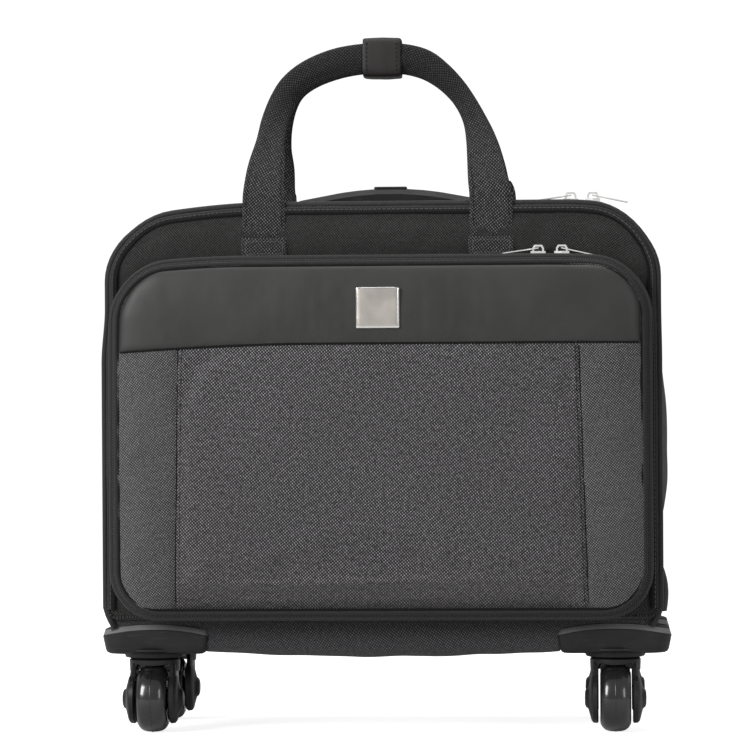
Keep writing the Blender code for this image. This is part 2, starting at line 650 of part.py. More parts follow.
def build_bezel(mats):
    """Cup in the top rear edge that the grip drops into, with a hole for each tube."""
    plan = rectangle((0.0, 0.0855), 0.188, 0.0290, 0.006, 3)
    lip = rectangle((0.0, 0.0855), 0.184, 0.0250, 0.004, 3)
    waist = rectangle((0.0, 0.0855), 0.1700, 0.0250, 0.004, 3)
    rings = [at_z(waist, BEZEL_FLOOR), at_z(waist, BODY_TOP + GAP), at_z(plan, BODY_TOP + GAP),
             at_z(plan, BEZEL_RIM - 0.0015), at_z(lip, BEZEL_RIM)]
    bezel = add_object("trolley_bezel", loft(rings), mats["housing_plastic"])
    recess = block("bezel_recess", (-GRIP_HALF_WIDTH - 0.002, TUBE_Y - GRIP_DEPTH / 2 - 0.0012, BEZEL_RECESS),
                   (GRIP_HALF_WIDTH + 0.002, TUBE_Y + GRIP_DEPTH / 2 + 0.0012, BEZEL_RIM + 0.01),
                   mats["housing_plastic"], 0.004)
    combine(bezel, recess, "DIFFERENCE")
    for side, sign in SIDES:
        hole = block("bezel_hole_" + side, (sign * TUBE_X - 0.0100, TUBE_Y - 0.0050, BEZEL_FLOOR - 0.002),
                     (sign * TUBE_X + 0.0100, TUBE_Y + 0.0050, BEZEL_RECESS + 0.002),
                     mats["housing_plastic"], 0.002)
        combine(bezel, hole, "DIFFERENCE")
    return bezel


def build_grip(mats):
    """Arched grip bar with a leg over each tube and a finger gap between the legs."""
    def crest(x):
        return GRIP_END + (GRIP_PEAK - GRIP_END) * math.cos(0.5 * math.pi * x / GRIP_HALF_WIDTH)

    leg_x = TUBE_X - 0.014
    half = GRIP_DEPTH / 2
    stations = [(-GRIP_HALF_WIDTH, 0.4200, 0.6), (-GRIP_HALF_WIDTH + 0.003, 0.4153, 0.9),
                (-leg_x - 0.002, 0.4153, 1.0), (-leg_x + 0.003, GRIP_UNDERSIDE, 1.0),
                (-0.028, GRIP_UNDERSIDE, 1.0), (-0.010, GRIP_UNDERSIDE, 1.0)]
    stations += [(-x, low, full) for x, low, full in reversed(stations)]
    rings = []
    for x, low, full in stations:
        top = crest(x)
        deep = half * full
        rings.append([(x, TUBE_Y - deep + 0.002, low), (x, TUBE_Y - deep, low + 0.002),
                      (x, TUBE_Y - deep, top - 0.005), (x, TUBE_Y - deep + 0.004, top - 0.001),
                      (x, TUBE_Y, top), (x, TUBE_Y + deep - 0.004, top - 0.001),
                      (x, TUBE_Y + deep, top - 0.005), (x, TUBE_Y + deep, low + 0.002),
                      (x, TUBE_Y + deep - 0.002, low)])
    grip = add_object("trolley_grip", loft(rings), mats["grip_plastic"], smooth_angle=40)
    for side, sign in SIDES:
        socket = block("grip_socket_" + side,
                       (sign * TUBE_X - INNER_TUBE[0] / 2 - GAP, TUBE_Y - INNER_TUBE[1] / 2 - GAP, 0.4100),
                       (sign * TUBE_X + INNER_TUBE[0] / 2 + GAP, TUBE_Y + INNER_TUBE[1] / 2 + GAP, 0.4256),
                       mats["grip_plastic"], 0.0015)
        combine(grip, socket, "DIFFERENCE")
    well = block("button_well", (-BUTTON_HALF_WIDTH - 0.0004, TUBE_Y - BUTTON_DEPTH / 2 - 0.0004, GRIP_PEAK - 0.0080),
                 (BUTTON_HALF_WIDTH + 0.0004, TUBE_Y + BUTTON_DEPTH / 2 + 0.0004, GRIP_PEAK + 0.01),
                 mats["grip_plastic"], 0.0024)
    combine(grip, well, "DIFFERENCE")
    low = GRIP_PEAK - 0.0080 + GAP + BUTTON_TRAVEL
    button_plan = rectangle((0.0, TUBE_Y), 2 * BUTTON_HALF_WIDTH, BUTTON_DEPTH, 0.0020, 3)
    button_face = rectangle((0.0, TUBE_Y), 2 * BUTTON_HALF_WIDTH - 0.0016, BUTTON_DEPTH - 0.0016, 0.0014, 3)
    button = add_object("release_button", loft([at_z(button_plan, low), at_z(button_plan, GRIP_PEAK + 0.0006),
                                                at_z(button_face, GRIP_PEAK + 0.0014)]), mats["housing_plastic"])
    return grip, button


def build_trolley(mats):
    floor = BODY_BOTTOM + BODY_WALL + 2 * GAP
    block("trolley_foot_bar", (-0.074, TUBE_Y - 0.0085, floor), (0.074, TUBE_Y + 0.0085, floor + 0.005),
          mats["housing_plastic"], 0.003)
    tube_floor = floor + 0.005 + GAP
    build_bezel(mats)
    stage_one = joint_empty("stage_one_slide", (0, TUBE_Y, BEZEL_FLOOR))
    stage_two = joint_empty("stage_two_slide", (0, TUBE_Y, BEZEL_RECESS), stage_one)
    for side, sign in SIDES:
        x = sign * TUBE_X
        box_tube("trolley_outer_tube_" + side, x, OUTER_TUBE, OUTER_TUBE_WALL, tube_floor,
                 BEZEL_FLOOR - GAP, mats)
        middle = box_tube("trolley_middle_tube_" + side, x, MIDDLE_TUBE, MIDDLE_TUBE_WALL,
                          tube_floor + 0.0005, BEZEL_RECESS, mats)
        inner = box_tube("trolley_inner_tube_" + side, x, INNER_TUBE, INNER_TUBE_WALL,
                         tube_floor + 0.0010, 0.4250, mats)
        hang_on(stage_one, middle)
        hang_on(stage_two, inner)
    grip, button = build_grip(mats)
    hang_on(stage_two, grip)
    press = joint_empty("button_press", (0, TUBE_Y, GRIP_PEAK), stage_two)
    hang_on(press, button)


# ---------------------------------------------------------------- zip sliders
def build_slider(name, x, y, chain_z, heading, mats):
    """Slider body with a bridge over it, and a pull tab hooked round the bridge's crossbar."""
    half_w = SLIDER_WIDTH / 2
    base = chain_z + GAP
    plan = [(x - SLIDER_LENGTH / 2 * heading, half_w * 0.70), (x, half_w), (x + SLIDER_LENGTH / 2 * heading, half_w * 0.85)]
    outline = [(px, y - w) for px, w in plan] + [(px, y + w) for px, w in reversed(plan)]
    slider = add_object("slider_" + name, loft([at_z(outline, base), at_z(outline, base + SLIDER_HEIGHT)]),
                        mats["chrome_zip"])
    top = base + SLIDER_HEIGHT
    arch = [(-0.0047, -0.0005), (-0.0047, 0.0026), (-0.0032, 0.0052), (0.0032, 0.0052), (0.0047, 0.0026),
            (0.0047, -0.0005), (0.0032, -0.0005), (0.0032, 0.0022), (0.0021, 0.0038), (-0.0021, 0.0038),
            (-0.0032, 0.0022), (-0.0032, -0.0005)]
    rings = [[(x + dx, y + dy, top + dz) for dx, dz in arch] for dy in (-0.0012, 0.0012)]
    bridge = add_object("bridge_" + name, loft(rings), mats["chrome_zip"])
    combine(slider, bridge, "UNION")
    pivot = (x, y, chain_z + PULL_PIVOT)
    droop = math.radians(PULL_DROOP[name])

    def leaned(along, across, lift):
        return (x + heading * (along * math.cos(droop) + lift * math.sin(droop)), y + across,
                pivot[2] - along * math.sin(droop) + lift * math.cos(droop))

    thick = 0.00045
    outer = [(-0.0005, 0.0030), (0.0060, 0.0030), (0.0095, 0.0023), (0.0130, 0.0028), (PULL_LENGTH - 0.002, 0.0032),
             (PULL_LENGTH, 0.0018)]
    plate = [(along, half) for along, half in outer] + [(along, -half) for along, half in reversed(outer)]
    pull = add_object("pull_" + name, loft([[leaned(a, c, lift) for a, c in plate] for lift in (-thick, thick)]),
                      mats["chrome_zip"])
    opening = [(0.0005, 0.0016), (0.0074, 0.0016), (0.0074, -0.0016), (0.0005, -0.0016)]
    eye = add_object("eye_" + name, loft([[leaned(a, c, lift) for a, c in opening] for lift in (-0.002, 0.002)]),
                     mats["chrome_zip"])
    combine(pull, eye, "DIFFERENCE")
    return slider, pull, pivot


def build_zip_pair(prefix, positions, y, chain_z, mats, parent=None):
    """Two sliders that meet nose to nose, each with its pull lying away from the other.

    The main pair's right-hand slider starts where the corner does, so it turns about the corner's
    centre; the others run straight along the top.
    """
    for side, x, heading in zip(("left", "right"), positions, (-1, 1)):
        name = prefix + "_" + side
        slider, pull, pivot = build_slider(name, x, y, chain_z, heading, mats)
        on_corner = prefix == "main" and side == "right"
        run_z = BODY_TOP - BODY_TOP_RADIUS if on_corner else chain_z
        run = joint_empty("zip_run_" + name, (x, y, run_z), parent)
        hang_on(run, slider)
        hang_on(joint_empty("pull_pivot_" + name, pivot, run), pull)


# ---------------------------------------------------------------- whole case
def clear_scene():
    for obj in list(bpy.data.objects):
        bpy.data.objects.remove(obj, do_unlink=True)


def build_case():
    mats = material_palette()
    build_rear_shell(mats)
    build_bottom_tray(mats)
    build_boards(mats)
    build_zip_chain(mats)
    build_rear_guards(mats)
    cord_ring("rear_piping", body_outline(PIPING_OFFSET), SHELL_REAR - PIPING_RADIUS, PIPING_RADIUS, mats["piping"])
    build_casters(mats)
    build_trolley(mats)
    build_zip_pair("main", MAIN_SLIDERS_X, (LID_REAR + SHELL_FRONT) / 2, BODY_TOP + CHAIN_CROWN, mats)

    lid_hinge = joint_empty("lid_hinge", (0, LID_FRONT, LID_HINGE_Z))
    hang_on(lid_hinge, *build_lid(mats))
    pocket_hinge = joint_empty("pocket_hinge", (0, PANEL_REAR + 0.0002, POCKET_BOTTOM - 0.0052), lid_hinge)
    hang_on(pocket_hinge, *build_pocket(mats))
    build_zip_pair("pocket", POCKET_SLIDERS_X, POCKET_ZIP_Y, POCKET_TOP + GUSSET_OFFSET, mats, lid_hinge)

    half_strap = STRAP_BASE_THICKNESS / 2
    front_pivot = joint_empty("front_strap_hinge", (0, FRONT_STRAP_Y - half_strap, FRONT_STRAP_FOOT), lid_hinge)
    grip_offset = STRAP_GRIP_THICKNESS / 2 + 0.0016
    front = build_strap("front_strap", FRONT_STRAP_FOOT, FRONT_STRAP_Y, CUFF_PLANE_Y - grip_offset, mats)
    hang_on(front_pivot, front, build_cuff("cuff_front_half", -1, mats))
    rear_pivot = joint_empty("rear_strap_hinge", (0, REAR_STRAP_Y + half_strap, REAR_STRAP_FOOT))
    rear = build_strap("rear_strap", REAR_STRAP_FOOT, REAR_STRAP_Y, CUFF_PLANE_Y + grip_offset, mats)
    hang_on(rear_pivot, rear, build_cuff("cuff_rear_half", 1, mats))


clear_scene()
build_case()
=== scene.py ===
import math

import bmesh
import bpy
import numpy as np
from mathutils import Matrix, Vector, noise


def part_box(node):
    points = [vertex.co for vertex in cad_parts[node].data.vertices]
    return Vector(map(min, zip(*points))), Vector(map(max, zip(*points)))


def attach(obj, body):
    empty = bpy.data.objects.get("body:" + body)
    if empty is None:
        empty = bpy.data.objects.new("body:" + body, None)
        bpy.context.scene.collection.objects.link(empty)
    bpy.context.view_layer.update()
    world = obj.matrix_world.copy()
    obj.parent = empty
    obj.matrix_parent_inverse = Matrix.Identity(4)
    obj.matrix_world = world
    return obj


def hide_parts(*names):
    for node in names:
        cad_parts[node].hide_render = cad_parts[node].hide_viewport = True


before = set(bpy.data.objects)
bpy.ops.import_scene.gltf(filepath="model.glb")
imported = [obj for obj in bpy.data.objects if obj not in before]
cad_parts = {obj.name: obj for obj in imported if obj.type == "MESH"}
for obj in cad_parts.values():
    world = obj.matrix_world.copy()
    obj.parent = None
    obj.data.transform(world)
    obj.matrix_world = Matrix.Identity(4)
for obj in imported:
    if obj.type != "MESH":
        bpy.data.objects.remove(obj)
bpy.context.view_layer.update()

# ---------------------------------------------------------------- boxes, read from the frame
LID_LOW, LID_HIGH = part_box("lid_shell")
REAR_LOW, REAR_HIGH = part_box("rear_shell")
PANEL_LOW, PANEL_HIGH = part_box("pocket_panel")
GUSSET_LOW, GUSSET_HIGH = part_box("pocket_gusset")
TRAY_LOW, TRAY_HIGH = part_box("bottom_tray")
BAND_LOW, BAND_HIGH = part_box("smooth_band")
BADGE_LOW, BADGE_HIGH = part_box("badge_plate")

# ---------------------------------------------------------------- sizes in metres, and settings
BODY_TOP_RADIUS = 0.050
BODY_LOW_RADIUS = 0.007
POCKET_TOP_RADIUS = 0.042
POCKET_LOW_RADIUS = 0.036
BAND_INSET = 0.0045             # from the pocket's corner radius to the smooth band's
PIPING_OFFSET = 0.0027          # a piping's centre line, outside its wall
CORD_RADIUS = 0.0024            # pipings of the case
POCKET_CORD_RADIUS = 0.0023
FACE_INSET = 0.0012             # a cloth face of the case ends this far inside its wall
CLOTH = 0.0022                  # thickness of a padded cloth wall as it shows at its edge
SEAM_PINS = 0.0028              # half width of the cloth that a seam holds still
CLOTH_FRAMES = 20               # steps in which a blown-up panel settles
STITCH_PITCH = 0.0038           # top stitching of the case
STITCH_LENGTH = 0.0028
COIL_RADIUS = 0.0012            # main zip
COIL_PITCH = 0.00095
TAPE = 0.0008                   # thickness of a woven tape
FLOOR_CLOTH = 0.0018
POCKET_RISE = 0.0080            # the pocket's front stands this far out from its seam
POCKET_CROWN = 0.0026           # and is this much fuller in its middle
POCKET_TUCK = 0.0088            # its cloth turns back this far below the fold
FOLD_RIDGE = 0.0022             # height of the fold itself
SIDE_SWELL = 0.0092             # fullness of the stuffed sides, below mid-height
FLOOR_SAG = 0.0042
GUARD_FULL = 0.0130
QUILT = 0.060                   # spacing of the divider's quilting
ARCH_STEPS = (12, 70, 70)       # steps round a corner, up a side and along the top or bottom
FINE_STEPS = (12, 90, 90)
WHEEL_GAP = 0.0014              # between a wheel and its fork
CORNERS = ("front_left", "front_right", "rear_left", "rear_right")
ZIPS = ("main_left", "main_right", "pocket_left", "pocket_right")
LEFT_SEAM_X = (-0.1600, -0.1650)    # panel seams of the pocket, at the top and at the bottom
RIGHT_SEAM_X = (0.1580, 0.1670)
BAND_SAG = 0.0053               # the smooth band's lower seam drops this far towards the left side
FOLD_Z = 0.1235                 # where the pocket's cloth turns under
HOUSING_REACH = {"left": 0.0045, "right": 0.0090}    # how far the lips stand out past the CAD housings
HOUSING_CORNER = 0.0170         # plan radius at the case's corner
HOUSING_EDGE = 0.0050           # plan radius at the other three corners
NECK_RADIUS = 0.0206
CHEEK_RADIUS = 0.0203
STRAP_FOOT_WIDTH = 0.0350
STRAP_KNEE_Z = 0.4310           # the straps run straight up from their feet to here
STRAP_LEAN_Z = (0.4340, 0.5330)     # they lean in between these heights
STRAP_FOLD_Z = (0.4440, 0.5150)     # and fold lengthwise between these
FLOOR_REACH = 6
FLOOR_GREY = 0.62
FLOOR_GLOW = 0.80               # seen by the camera only
SKY_GLOW = 1.05                 # seen by the camera only
WORLD_LIGHT = 0.42
KEY_POWER = 90
FILL_POWER = 16
TOP_POWER = 26
CAMERA_DISTANCE = 3.0           # from the camera to the pocket's front
CAMERA_HEIGHT = 0.270
CAMERA_AZIMUTH = 3.5
CAMERA_ROLL = 0.35
CAMERA_OFFSET = -0.0028         # where the optical axis passes the pocket's front, along X
CAMERA_SHIFT = 0.032
FRAME_WIDTH = 0.600             # width that the picture takes in at the pocket's front
# Slack arch of the carry straps between their feet, as (x, z, width).
STRAP_LINE = [(-0.0932, 0.4472, 0.0318), (-0.0915, 0.4638, 0.0290), (-0.0899, 0.4808, 0.0232),
              (-0.0872, 0.4979, 0.0222), (-0.0815, 0.5150, 0.0218), (-0.0730, 0.5280, 0.0222),
              (-0.0580, 0.5385, 0.0232), (-0.0380, 0.5460, 0.0240), (-0.0180, 0.5495, 0.0240),
              (0.0000, 0.5500, 0.0240), (0.0180, 0.5492, 0.0240), (0.0340, 0.5450, 0.0235),
              (0.0470, 0.5368, 0.0208), (0.0585, 0.5260, 0.0185), (0.0675, 0.5140, 0.0175),
              (0.0758, 0.4979, 0.0192), (0.0815, 0.4808, 0.0245), (0.0848, 0.4638, 0.0285),
              (0.0872, 0.4472, 0.0315)]


# ---------------------------------------------------------------- materials
class Nodes:
    """Short names for the node graph of one material."""

    def __init__(self, name, slot_name):
        self.material = bpy.data.materials.new(name)
        self.material.use_nodes = True
        self.slot_name = slot_name
        self.tree = self.material.node_tree
        self.shader = self.tree.nodes["Principled BSDF"]

    def add(self, kind, **settings):
        node = self.tree.nodes.new(kind)
        for key, value in settings.items():
            setattr(node, key, value)
        return node

    def link(self, source, target):
        self.tree.links.new(source, target)

    def math(self, operation, *values):
        node = self.add("ShaderNodeMath", operation=operation)
        for socket, value in zip(node.inputs, values):
            if isinstance(value, (int, float)):
                socket.default_value = value
            else:
                self.link(value, socket)
        return node.outputs[0]

    def mix(self, factor, first, second):
        node = self.add("ShaderNodeMix", data_type="RGBA")
        for index, value in ((0, factor), (6, first), (7, second)):
            socket = node.inputs[index]
            if isinstance(value, (int, float)):
                socket.default_value = value
            elif isinstance(value, tuple):
                socket.default_value = (*value, 1.0)
            else:
                self.link(value, socket)
        return node.outputs[2]

    def place(self):
        """Position on the piece, in metres."""
        return self.add("ShaderNodeTexCoord").outputs["Object"]

    def weave_place(self):
        """Position along the cloth, in metres, as the piece's own attribute."""
        return self.add("ShaderNodeAttribute", attribute_name="weave").outputs["Vector"]

    def noise(self, place, scale, detail=2.0, roughness=0.5):
        node = self.add("ShaderNodeTexNoise")
        node.inputs["Scale"].default_value = scale
        node.inputs["Detail"].default_value = detail
        node.inputs["Roughness"].default_value = roughness
        self.link(place, node.inputs["Vector"])
        return node.outputs["Fac"]

    def bump(self, height, strength, distance):
        node = self.add("ShaderNodeBump")
        node.inputs["Strength"].default_value = strength
        node.inputs["Distance"].default_value = distance
        self.link(height, node.inputs["Height"])
        self.link(node.outputs["Normal"], self.shader.inputs["Normal"])

    def ramp(self, value, low, high, low_out=0.0, high_out=1.0):
        node = self.add("ShaderNodeMapRange")
        limits = {"From Min": low, "From Max": high, "To Min": low_out, "To Max": high_out}
        for key, number in limits.items():
            node.inputs[key].default_value = number
        self.link(value, node.inputs["Value"])
        return node.outputs["Result"]

    def set(self, **values):
        for key, value in values.items():
            self.shader.inputs[key.replace("_", " ")].default_value = value


def woven(name, slot_name, warp, weft, pitch, turn=0.0, contrast=0.35, bump=0.55, sheen=0.25, roughness=0.8,
          painted_top_shade=None):
    """Plain weave: two sets of round threads that pass over and under, with uneven tone.

    The last argument, (low z, high z, tone), darkens the cloth above those heights: painted shade, as the
    cloth higher up lies in shadow.
    """
    n = Nodes(name, slot_name)
    place = n.weave_place()
    if turn:
        spin = n.add("ShaderNodeVectorRotate", rotation_type="Z_AXIS")
        spin.inputs["Angle"].default_value = math.radians(turn)
        n.link(place, spin.inputs["Vector"])
        place = spin.outputs["Vector"]
    parts = n.add("ShaderNodeSeparateXYZ")
    n.link(place, parts.inputs["Vector"])
    across = n.math("DIVIDE", parts.outputs["X"], pitch)
    along = n.math("DIVIDE", parts.outputs["Y"], pitch)
    threads = n.math("ADD", n.math("FLOOR", across), n.math("FLOOR", along))
    parity = n.math("MODULO", n.math("ADD", threads, 4096.0), 2.0)
    profile_a = n.math("SINE", n.math("MULTIPLY", n.math("FRACT", across), math.pi))
    profile_b = n.math("SINE", n.math("MULTIPLY", n.math("FRACT", along), math.pi))
    over_a = n.math("MULTIPLY", profile_a, n.math("MULTIPLY_ADD", profile_b, 0.5, 0.5))
    over_b = n.math("MULTIPLY", profile_b, n.math("MULTIPLY_ADD", profile_a, 0.5, 0.5))
    height = n.math("ADD", n.math("MULTIPLY", over_a, n.math("SUBTRACT", 1.0, parity)),
                    n.math("MULTIPLY", over_b, parity))
    thread = n.mix(parity, warp, weft)
    yarn = n.noise(place, 0.45 / pitch, 3.0, 0.7)
    patch = n.noise(place, 9.0, 3.0, 0.5)
    # Painted shade: low places between the threads darken to about a third of the weft's colour.
    dark = n.mix(n.ramp(height, 0.05, 0.8), tuple(c * 0.35 for c in weft), thread)
    tone = n.add("ShaderNodeHueSaturation")
    n.link(dark, tone.inputs["Color"])
    level = n.math("MULTIPLY", n.ramp(yarn, 0.32, 0.68, 1.0 - contrast, 1.0 + contrast),
                   n.ramp(patch, 0.3, 0.7, 0.92, 1.08))
    # Painted shade: cloth above the given heights is darkened towards the given tone.
    if painted_top_shade:
        low, high, shade = painted_top_shade
        spot = n.add("ShaderNodeSeparateXYZ")
        n.link(n.place(), spot.inputs["Vector"])
        level = n.math("MULTIPLY", level, n.ramp(spot.outputs["Z"], low, high, 1.0, shade))
    n.link(level, tone.inputs["Value"])
    n.link(tone.outputs["Color"], n.shader.inputs["Base Color"])
    n.link(n.ramp(yarn, 0.3, 0.7, roughness - 0.12, roughness + 0.08), n.shader.inputs["Roughness"])
    n.set(Sheen_Weight=sheen, Sheen_Roughness=0.45, Specular_IOR_Level=0.26)
    n.bump(height, bump, pitch * 0.35)
    return n


def leather(name, slot_name, colour, roughness, grain_scale, grain, wear=0.12):
    """Smooth coated leather: fine closed grain, slow tone change, paler where it is rubbed."""
    n = Nodes(name, slot_name)
    place = n.place()
    cells = n.add("ShaderNodeTexVoronoi", feature="DISTANCE_TO_EDGE")
    cells.inputs["Scale"].default_value = grain_scale
    n.link(place, cells.inputs["Vector"])
    fine = n.noise(place, grain_scale * 1.9, 3.0, 0.6)
    rubbed = n.noise(place, 22.0, 4.0, 0.6)
    height = n.math("ADD", n.ramp(cells.outputs["Distance"], 0.0, 0.12), n.math("MULTIPLY", fine, 0.6))
    paler = tuple(min(1.0, c * (1.0 + wear * 2.2)) for c in colour)
    n.link(n.mix(n.ramp(rubbed, 0.38, 0.70), colour, paler), n.shader.inputs["Base Color"])
    n.link(n.ramp(rubbed, 0.3, 0.7, roughness - 0.05, roughness + 0.07), n.shader.inputs["Roughness"])
    n.set(Specular_IOR_Level=0.32)
    n.bump(height, grain, 0.00012)
    return n


def plastic(name, slot_name, colour, roughness, texture=0.25, scale=900.0, coat=0.0, scuff=0.10,
            specular=0.26):
    """Moulded plastic: spark-eroded micro texture, light scuffs that catch the light."""
    n = Nodes(name, slot_name)
    place = n.place()
    micro = n.noise(place, scale, 2.0, 0.5)
    slow = n.noise(place, 35.0, 4.0, 0.65)
    scratch = n.add("ShaderNodeMapping")
    scratch.inputs["Scale"].default_value = (60.0, 60.0, 1400.0)
    n.link(place, scratch.inputs["Vector"])
    marks = n.ramp(n.noise(scratch.outputs["Vector"], 1.0, 2.0, 0.5), 0.66, 0.74)
    paler = tuple(min(1.0, c * 1.6 + 0.01) for c in colour)
    shade = n.mix(n.ramp(slow, 0.35, 0.75, 0.0, 0.45), colour, paler)
    n.link(n.mix(n.math("MULTIPLY", marks, scuff), shade, (0.25, 0.25, 0.25)), n.shader.inputs["Base Color"])
    n.link(n.ramp(slow, 0.3, 0.7, roughness - 0.06, roughness + 0.08), n.shader.inputs["Roughness"])
    n.set(Coat_Weight=coat, Coat_Roughness=0.09, Specular_IOR_Level=specular)
    n.bump(micro, texture, 0.00006)
    return n


def metal(name, slot_name, colour, roughness, brushed=None, smudge=0.12, metallic=1.0):
    """Bare metal: brushed along one axis, or polished with faint smudges."""
    n = Nodes(name, slot_name)
    place = n.place()
    stretch = n.add("ShaderNodeMapping")
    stretch.inputs["Scale"].default_value = brushed or (300.0, 300.0, 300.0)
    n.link(place, stretch.inputs["Vector"])
    grain = n.noise(stretch.outputs["Vector"], 1.0, 3.0, 0.6)
    smear = n.noise(place, 60.0, 3.0, 0.5)
    darker = tuple(c * 0.86 for c in colour)
    n.link(n.mix(grain, darker, colour), n.shader.inputs["Base Color"])
    n.link(n.ramp(smear, 0.3, 0.7, roughness, roughness + smudge), n.shader.inputs["Roughness"])
    n.set(Metallic=metallic)
    n.bump(grain, 0.18 if brushed else 0.05, 0.00003)
    return n


def palette():
    return {
        "centre_cloth": woven("centre_cloth", "ballistic", (0.190, 0.181, 0.190), (0.0080, 0.0078, 0.0080),
                              0.00132, turn=5.0, contrast=0.70, bump=1.0),
        "side_cloth": woven("side_cloth", "ballistic", (0.178, 0.178, 0.180), (0.012, 0.012, 0.0125),
                            0.00116, turn=-7.0, contrast=0.55, bump=0.9),
        "body_cloth": woven("body_cloth", "body_cloth", (0.054, 0.051, 0.049), (0.003, 0.003, 0.0033),
                            0.00116, turn=6.0, contrast=0.65, bump=0.9, sheen=0.10),
        "floor_cloth": woven("floor_cloth", "body_cloth", (0.080, 0.079, 0.085), (0.014, 0.014, 0.015),
                             0.00120, turn=12.0, contrast=0.55),
        "tape": woven("tape", "piping", (0.040, 0.040, 0.041), (0.005, 0.005, 0.0054), 0.00100,
                      contrast=0.55, sheen=0.08),
        "cord": woven("cord", "piping", (0.046, 0.045, 0.044), (0.005, 0.005, 0.005), 0.00090, contrast=0.55,
                      sheen=0.08, roughness=0.65),
        # Near-black cloth for thin cords laid in seams and folds: painted shadow.
        "groove": woven("painted_seam_shadow_cloth", "piping", (0.004, 0.004, 0.004), (0.003, 0.003, 0.003), 0.00100,
                        contrast=0.20, sheen=0.0, roughness=0.95),
        # Painted shade: the webbing's grip darkens to a third of its tone between z 0.44 and 0.52.
        "webbing": woven("webbing", "webbing", (0.106, 0.103, 0.105), (0.003, 0.003, 0.003), 0.00135,
                         turn=6.0, contrast=0.75, bump=1.0, sheen=0.03, painted_top_shade=(0.440, 0.520, 0.34)),
        "lining": woven("lining", "body_cloth", (0.070, 0.070, 0.074), (0.052, 0.052, 0.055), 0.00050,
                        contrast=0.20, bump=0.25),
        "thread": woven("thread", "piping", (0.120, 0.120, 0.122), (0.070, 0.070, 0.071), 0.00040,
                        contrast=0.2),
        "dark_thread": woven("dark_thread", "piping", (0.012, 0.012, 0.012), (0.007, 0.007, 0.007), 0.00040,
                             contrast=0.2, sheen=0.0),
        "band": leather("band_coating", "smooth_band", (0.0200, 0.0200, 0.0192), 0.50, 1500.0, 0.20),
        "cuff": leather("cuff_leather", "cuff_leather", (0.0085, 0.0070, 0.0066), 0.52, 1100.0, 0.35),
        "housing": plastic("housing_plastic", "housing_plastic", (0.0088, 0.0086, 0.0085), 0.48, 0.35),
        # Painted highlight: a paler copy of the housing plastic for the upward lip, which catches the top
        # light.
        "painted_lip_highlight": plastic("painted_lip_highlight_plastic", "housing_plastic", (0.120, 0.119, 0.118), 0.42, 0.35),
        "fork": plastic("fork_plastic", "housing_plastic", (0.0080, 0.0078, 0.0078), 0.36, 0.20),
        "grip": plastic("grip_plastic", "grip_plastic", (0.012, 0.012, 0.0125), 0.50, 0.45, 1200.0),
        "coil": plastic("coil_plastic", "piping", (0.012, 0.012, 0.013), 0.35, 0.05),
        "board": plastic("board_plastic", "lining_board", (0.045, 0.047, 0.050), 0.75, 0.5, 500.0),
        "wheel": plastic("wheel_gloss", "wheel_rubber", (0.004, 0.004, 0.0045), 0.26, 0.03, 300.0, coat=0.75,
                         scuff=0.05, specular=0.45),
        "chrome": metal("zip_chrome", "chrome_zip", (0.97, 0.97, 0.96), 0.20, metallic=0.72),
        "badge": metal("badge_satin", "satin_badge", (0.56, 0.52, 0.485), 0.34, (20.0, 20.0, 2600.0)),
        "badge_edge": metal("badge_bevel", "satin_badge", (0.82, 0.81, 0.79), 0.14),
        "steel": metal("pin_steel", "steel", (0.45, 0.45, 0.46), 0.30),
        "tube": metal("tube_anodised", "tube_aluminium", (0.36, 0.36, 0.37), 0.28, (900.0, 900.0, 12.0)),
    }


# ---------------------------------------------------------------- mesh helpers
def build(name, points, faces, materials, weave=None, face_materials=None, smooth=True):
    """One mesh piece; weave gives each point's place on the cloth, in metres."""
    mesh = bpy.data.meshes.new(name)
    mesh.from_pydata([tuple(p) for p in points], [], faces)
    if weave is not None:
        layer = mesh.attributes.new("weave", "FLOAT_VECTOR", "POINT")
        flat = np.zeros((len(points), 3), np.float32)
        flat[:, :2] = np.asarray(weave, np.float32)
        layer.data.foreach_set("vector", flat.ravel())
    for material in materials:
        mesh.materials.append(material.material)
    if face_materials is not None:
        mesh.polygons.foreach_set("material_index", face_materials)
    mesh.validate()
    if smooth:
        mesh.shade_smooth()
    obj = bpy.data.objects.new(name, mesh)
    bpy.context.scene.collection.objects.link(obj)
    return obj


def strip_faces(rows, columns, wrap=False, flip=False):
    """Quads of a grid stored row by row; wrap joins the last column to the first."""
    faces = []
    for r in range(rows - 1):
        for c in range(columns if wrap else columns - 1):
            d = (c + 1) % columns
            quad = (r * columns + c, r * columns + d, (r + 1) * columns + d, (r + 1) * columns + c)
            faces.append(quad[::-1] if flip else quad)
    return faces


def end_caps(rows, columns, turned=True):
    """The two faces that close a wrapped grid at its first and last row."""
    first = tuple(range(columns))
    last = tuple((rows - 1) * columns + k for k in range(columns))
    return [first[::-1] if turned else first, last]


def ring_close(rows, columns):
    """Quads that join a wrapped grid's last row to its first."""
    last = (rows - 1) * columns
    return [(last + k, last + (k + 1) % columns, (k + 1) % columns, k) for k in range(columns)]


def centre_of(low, high):
    """Centre of a box."""
    return tuple((a + b) / 2 for a, b in zip(low, high))


def ride_all(pieces, body):
    for piece in pieces:
        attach(piece, body)


def thicken(obj, thickness):
    modifier = obj.modifiers.new("thickness", "SOLIDIFY")
    modifier.thickness = thickness
    modifier.offset = -1.0
    modifier.use_even_offset = False
    return obj


def wobble(x, y, z, scale):
    return noise.noise(Vector((x * scale, y * scale, z * scale)))


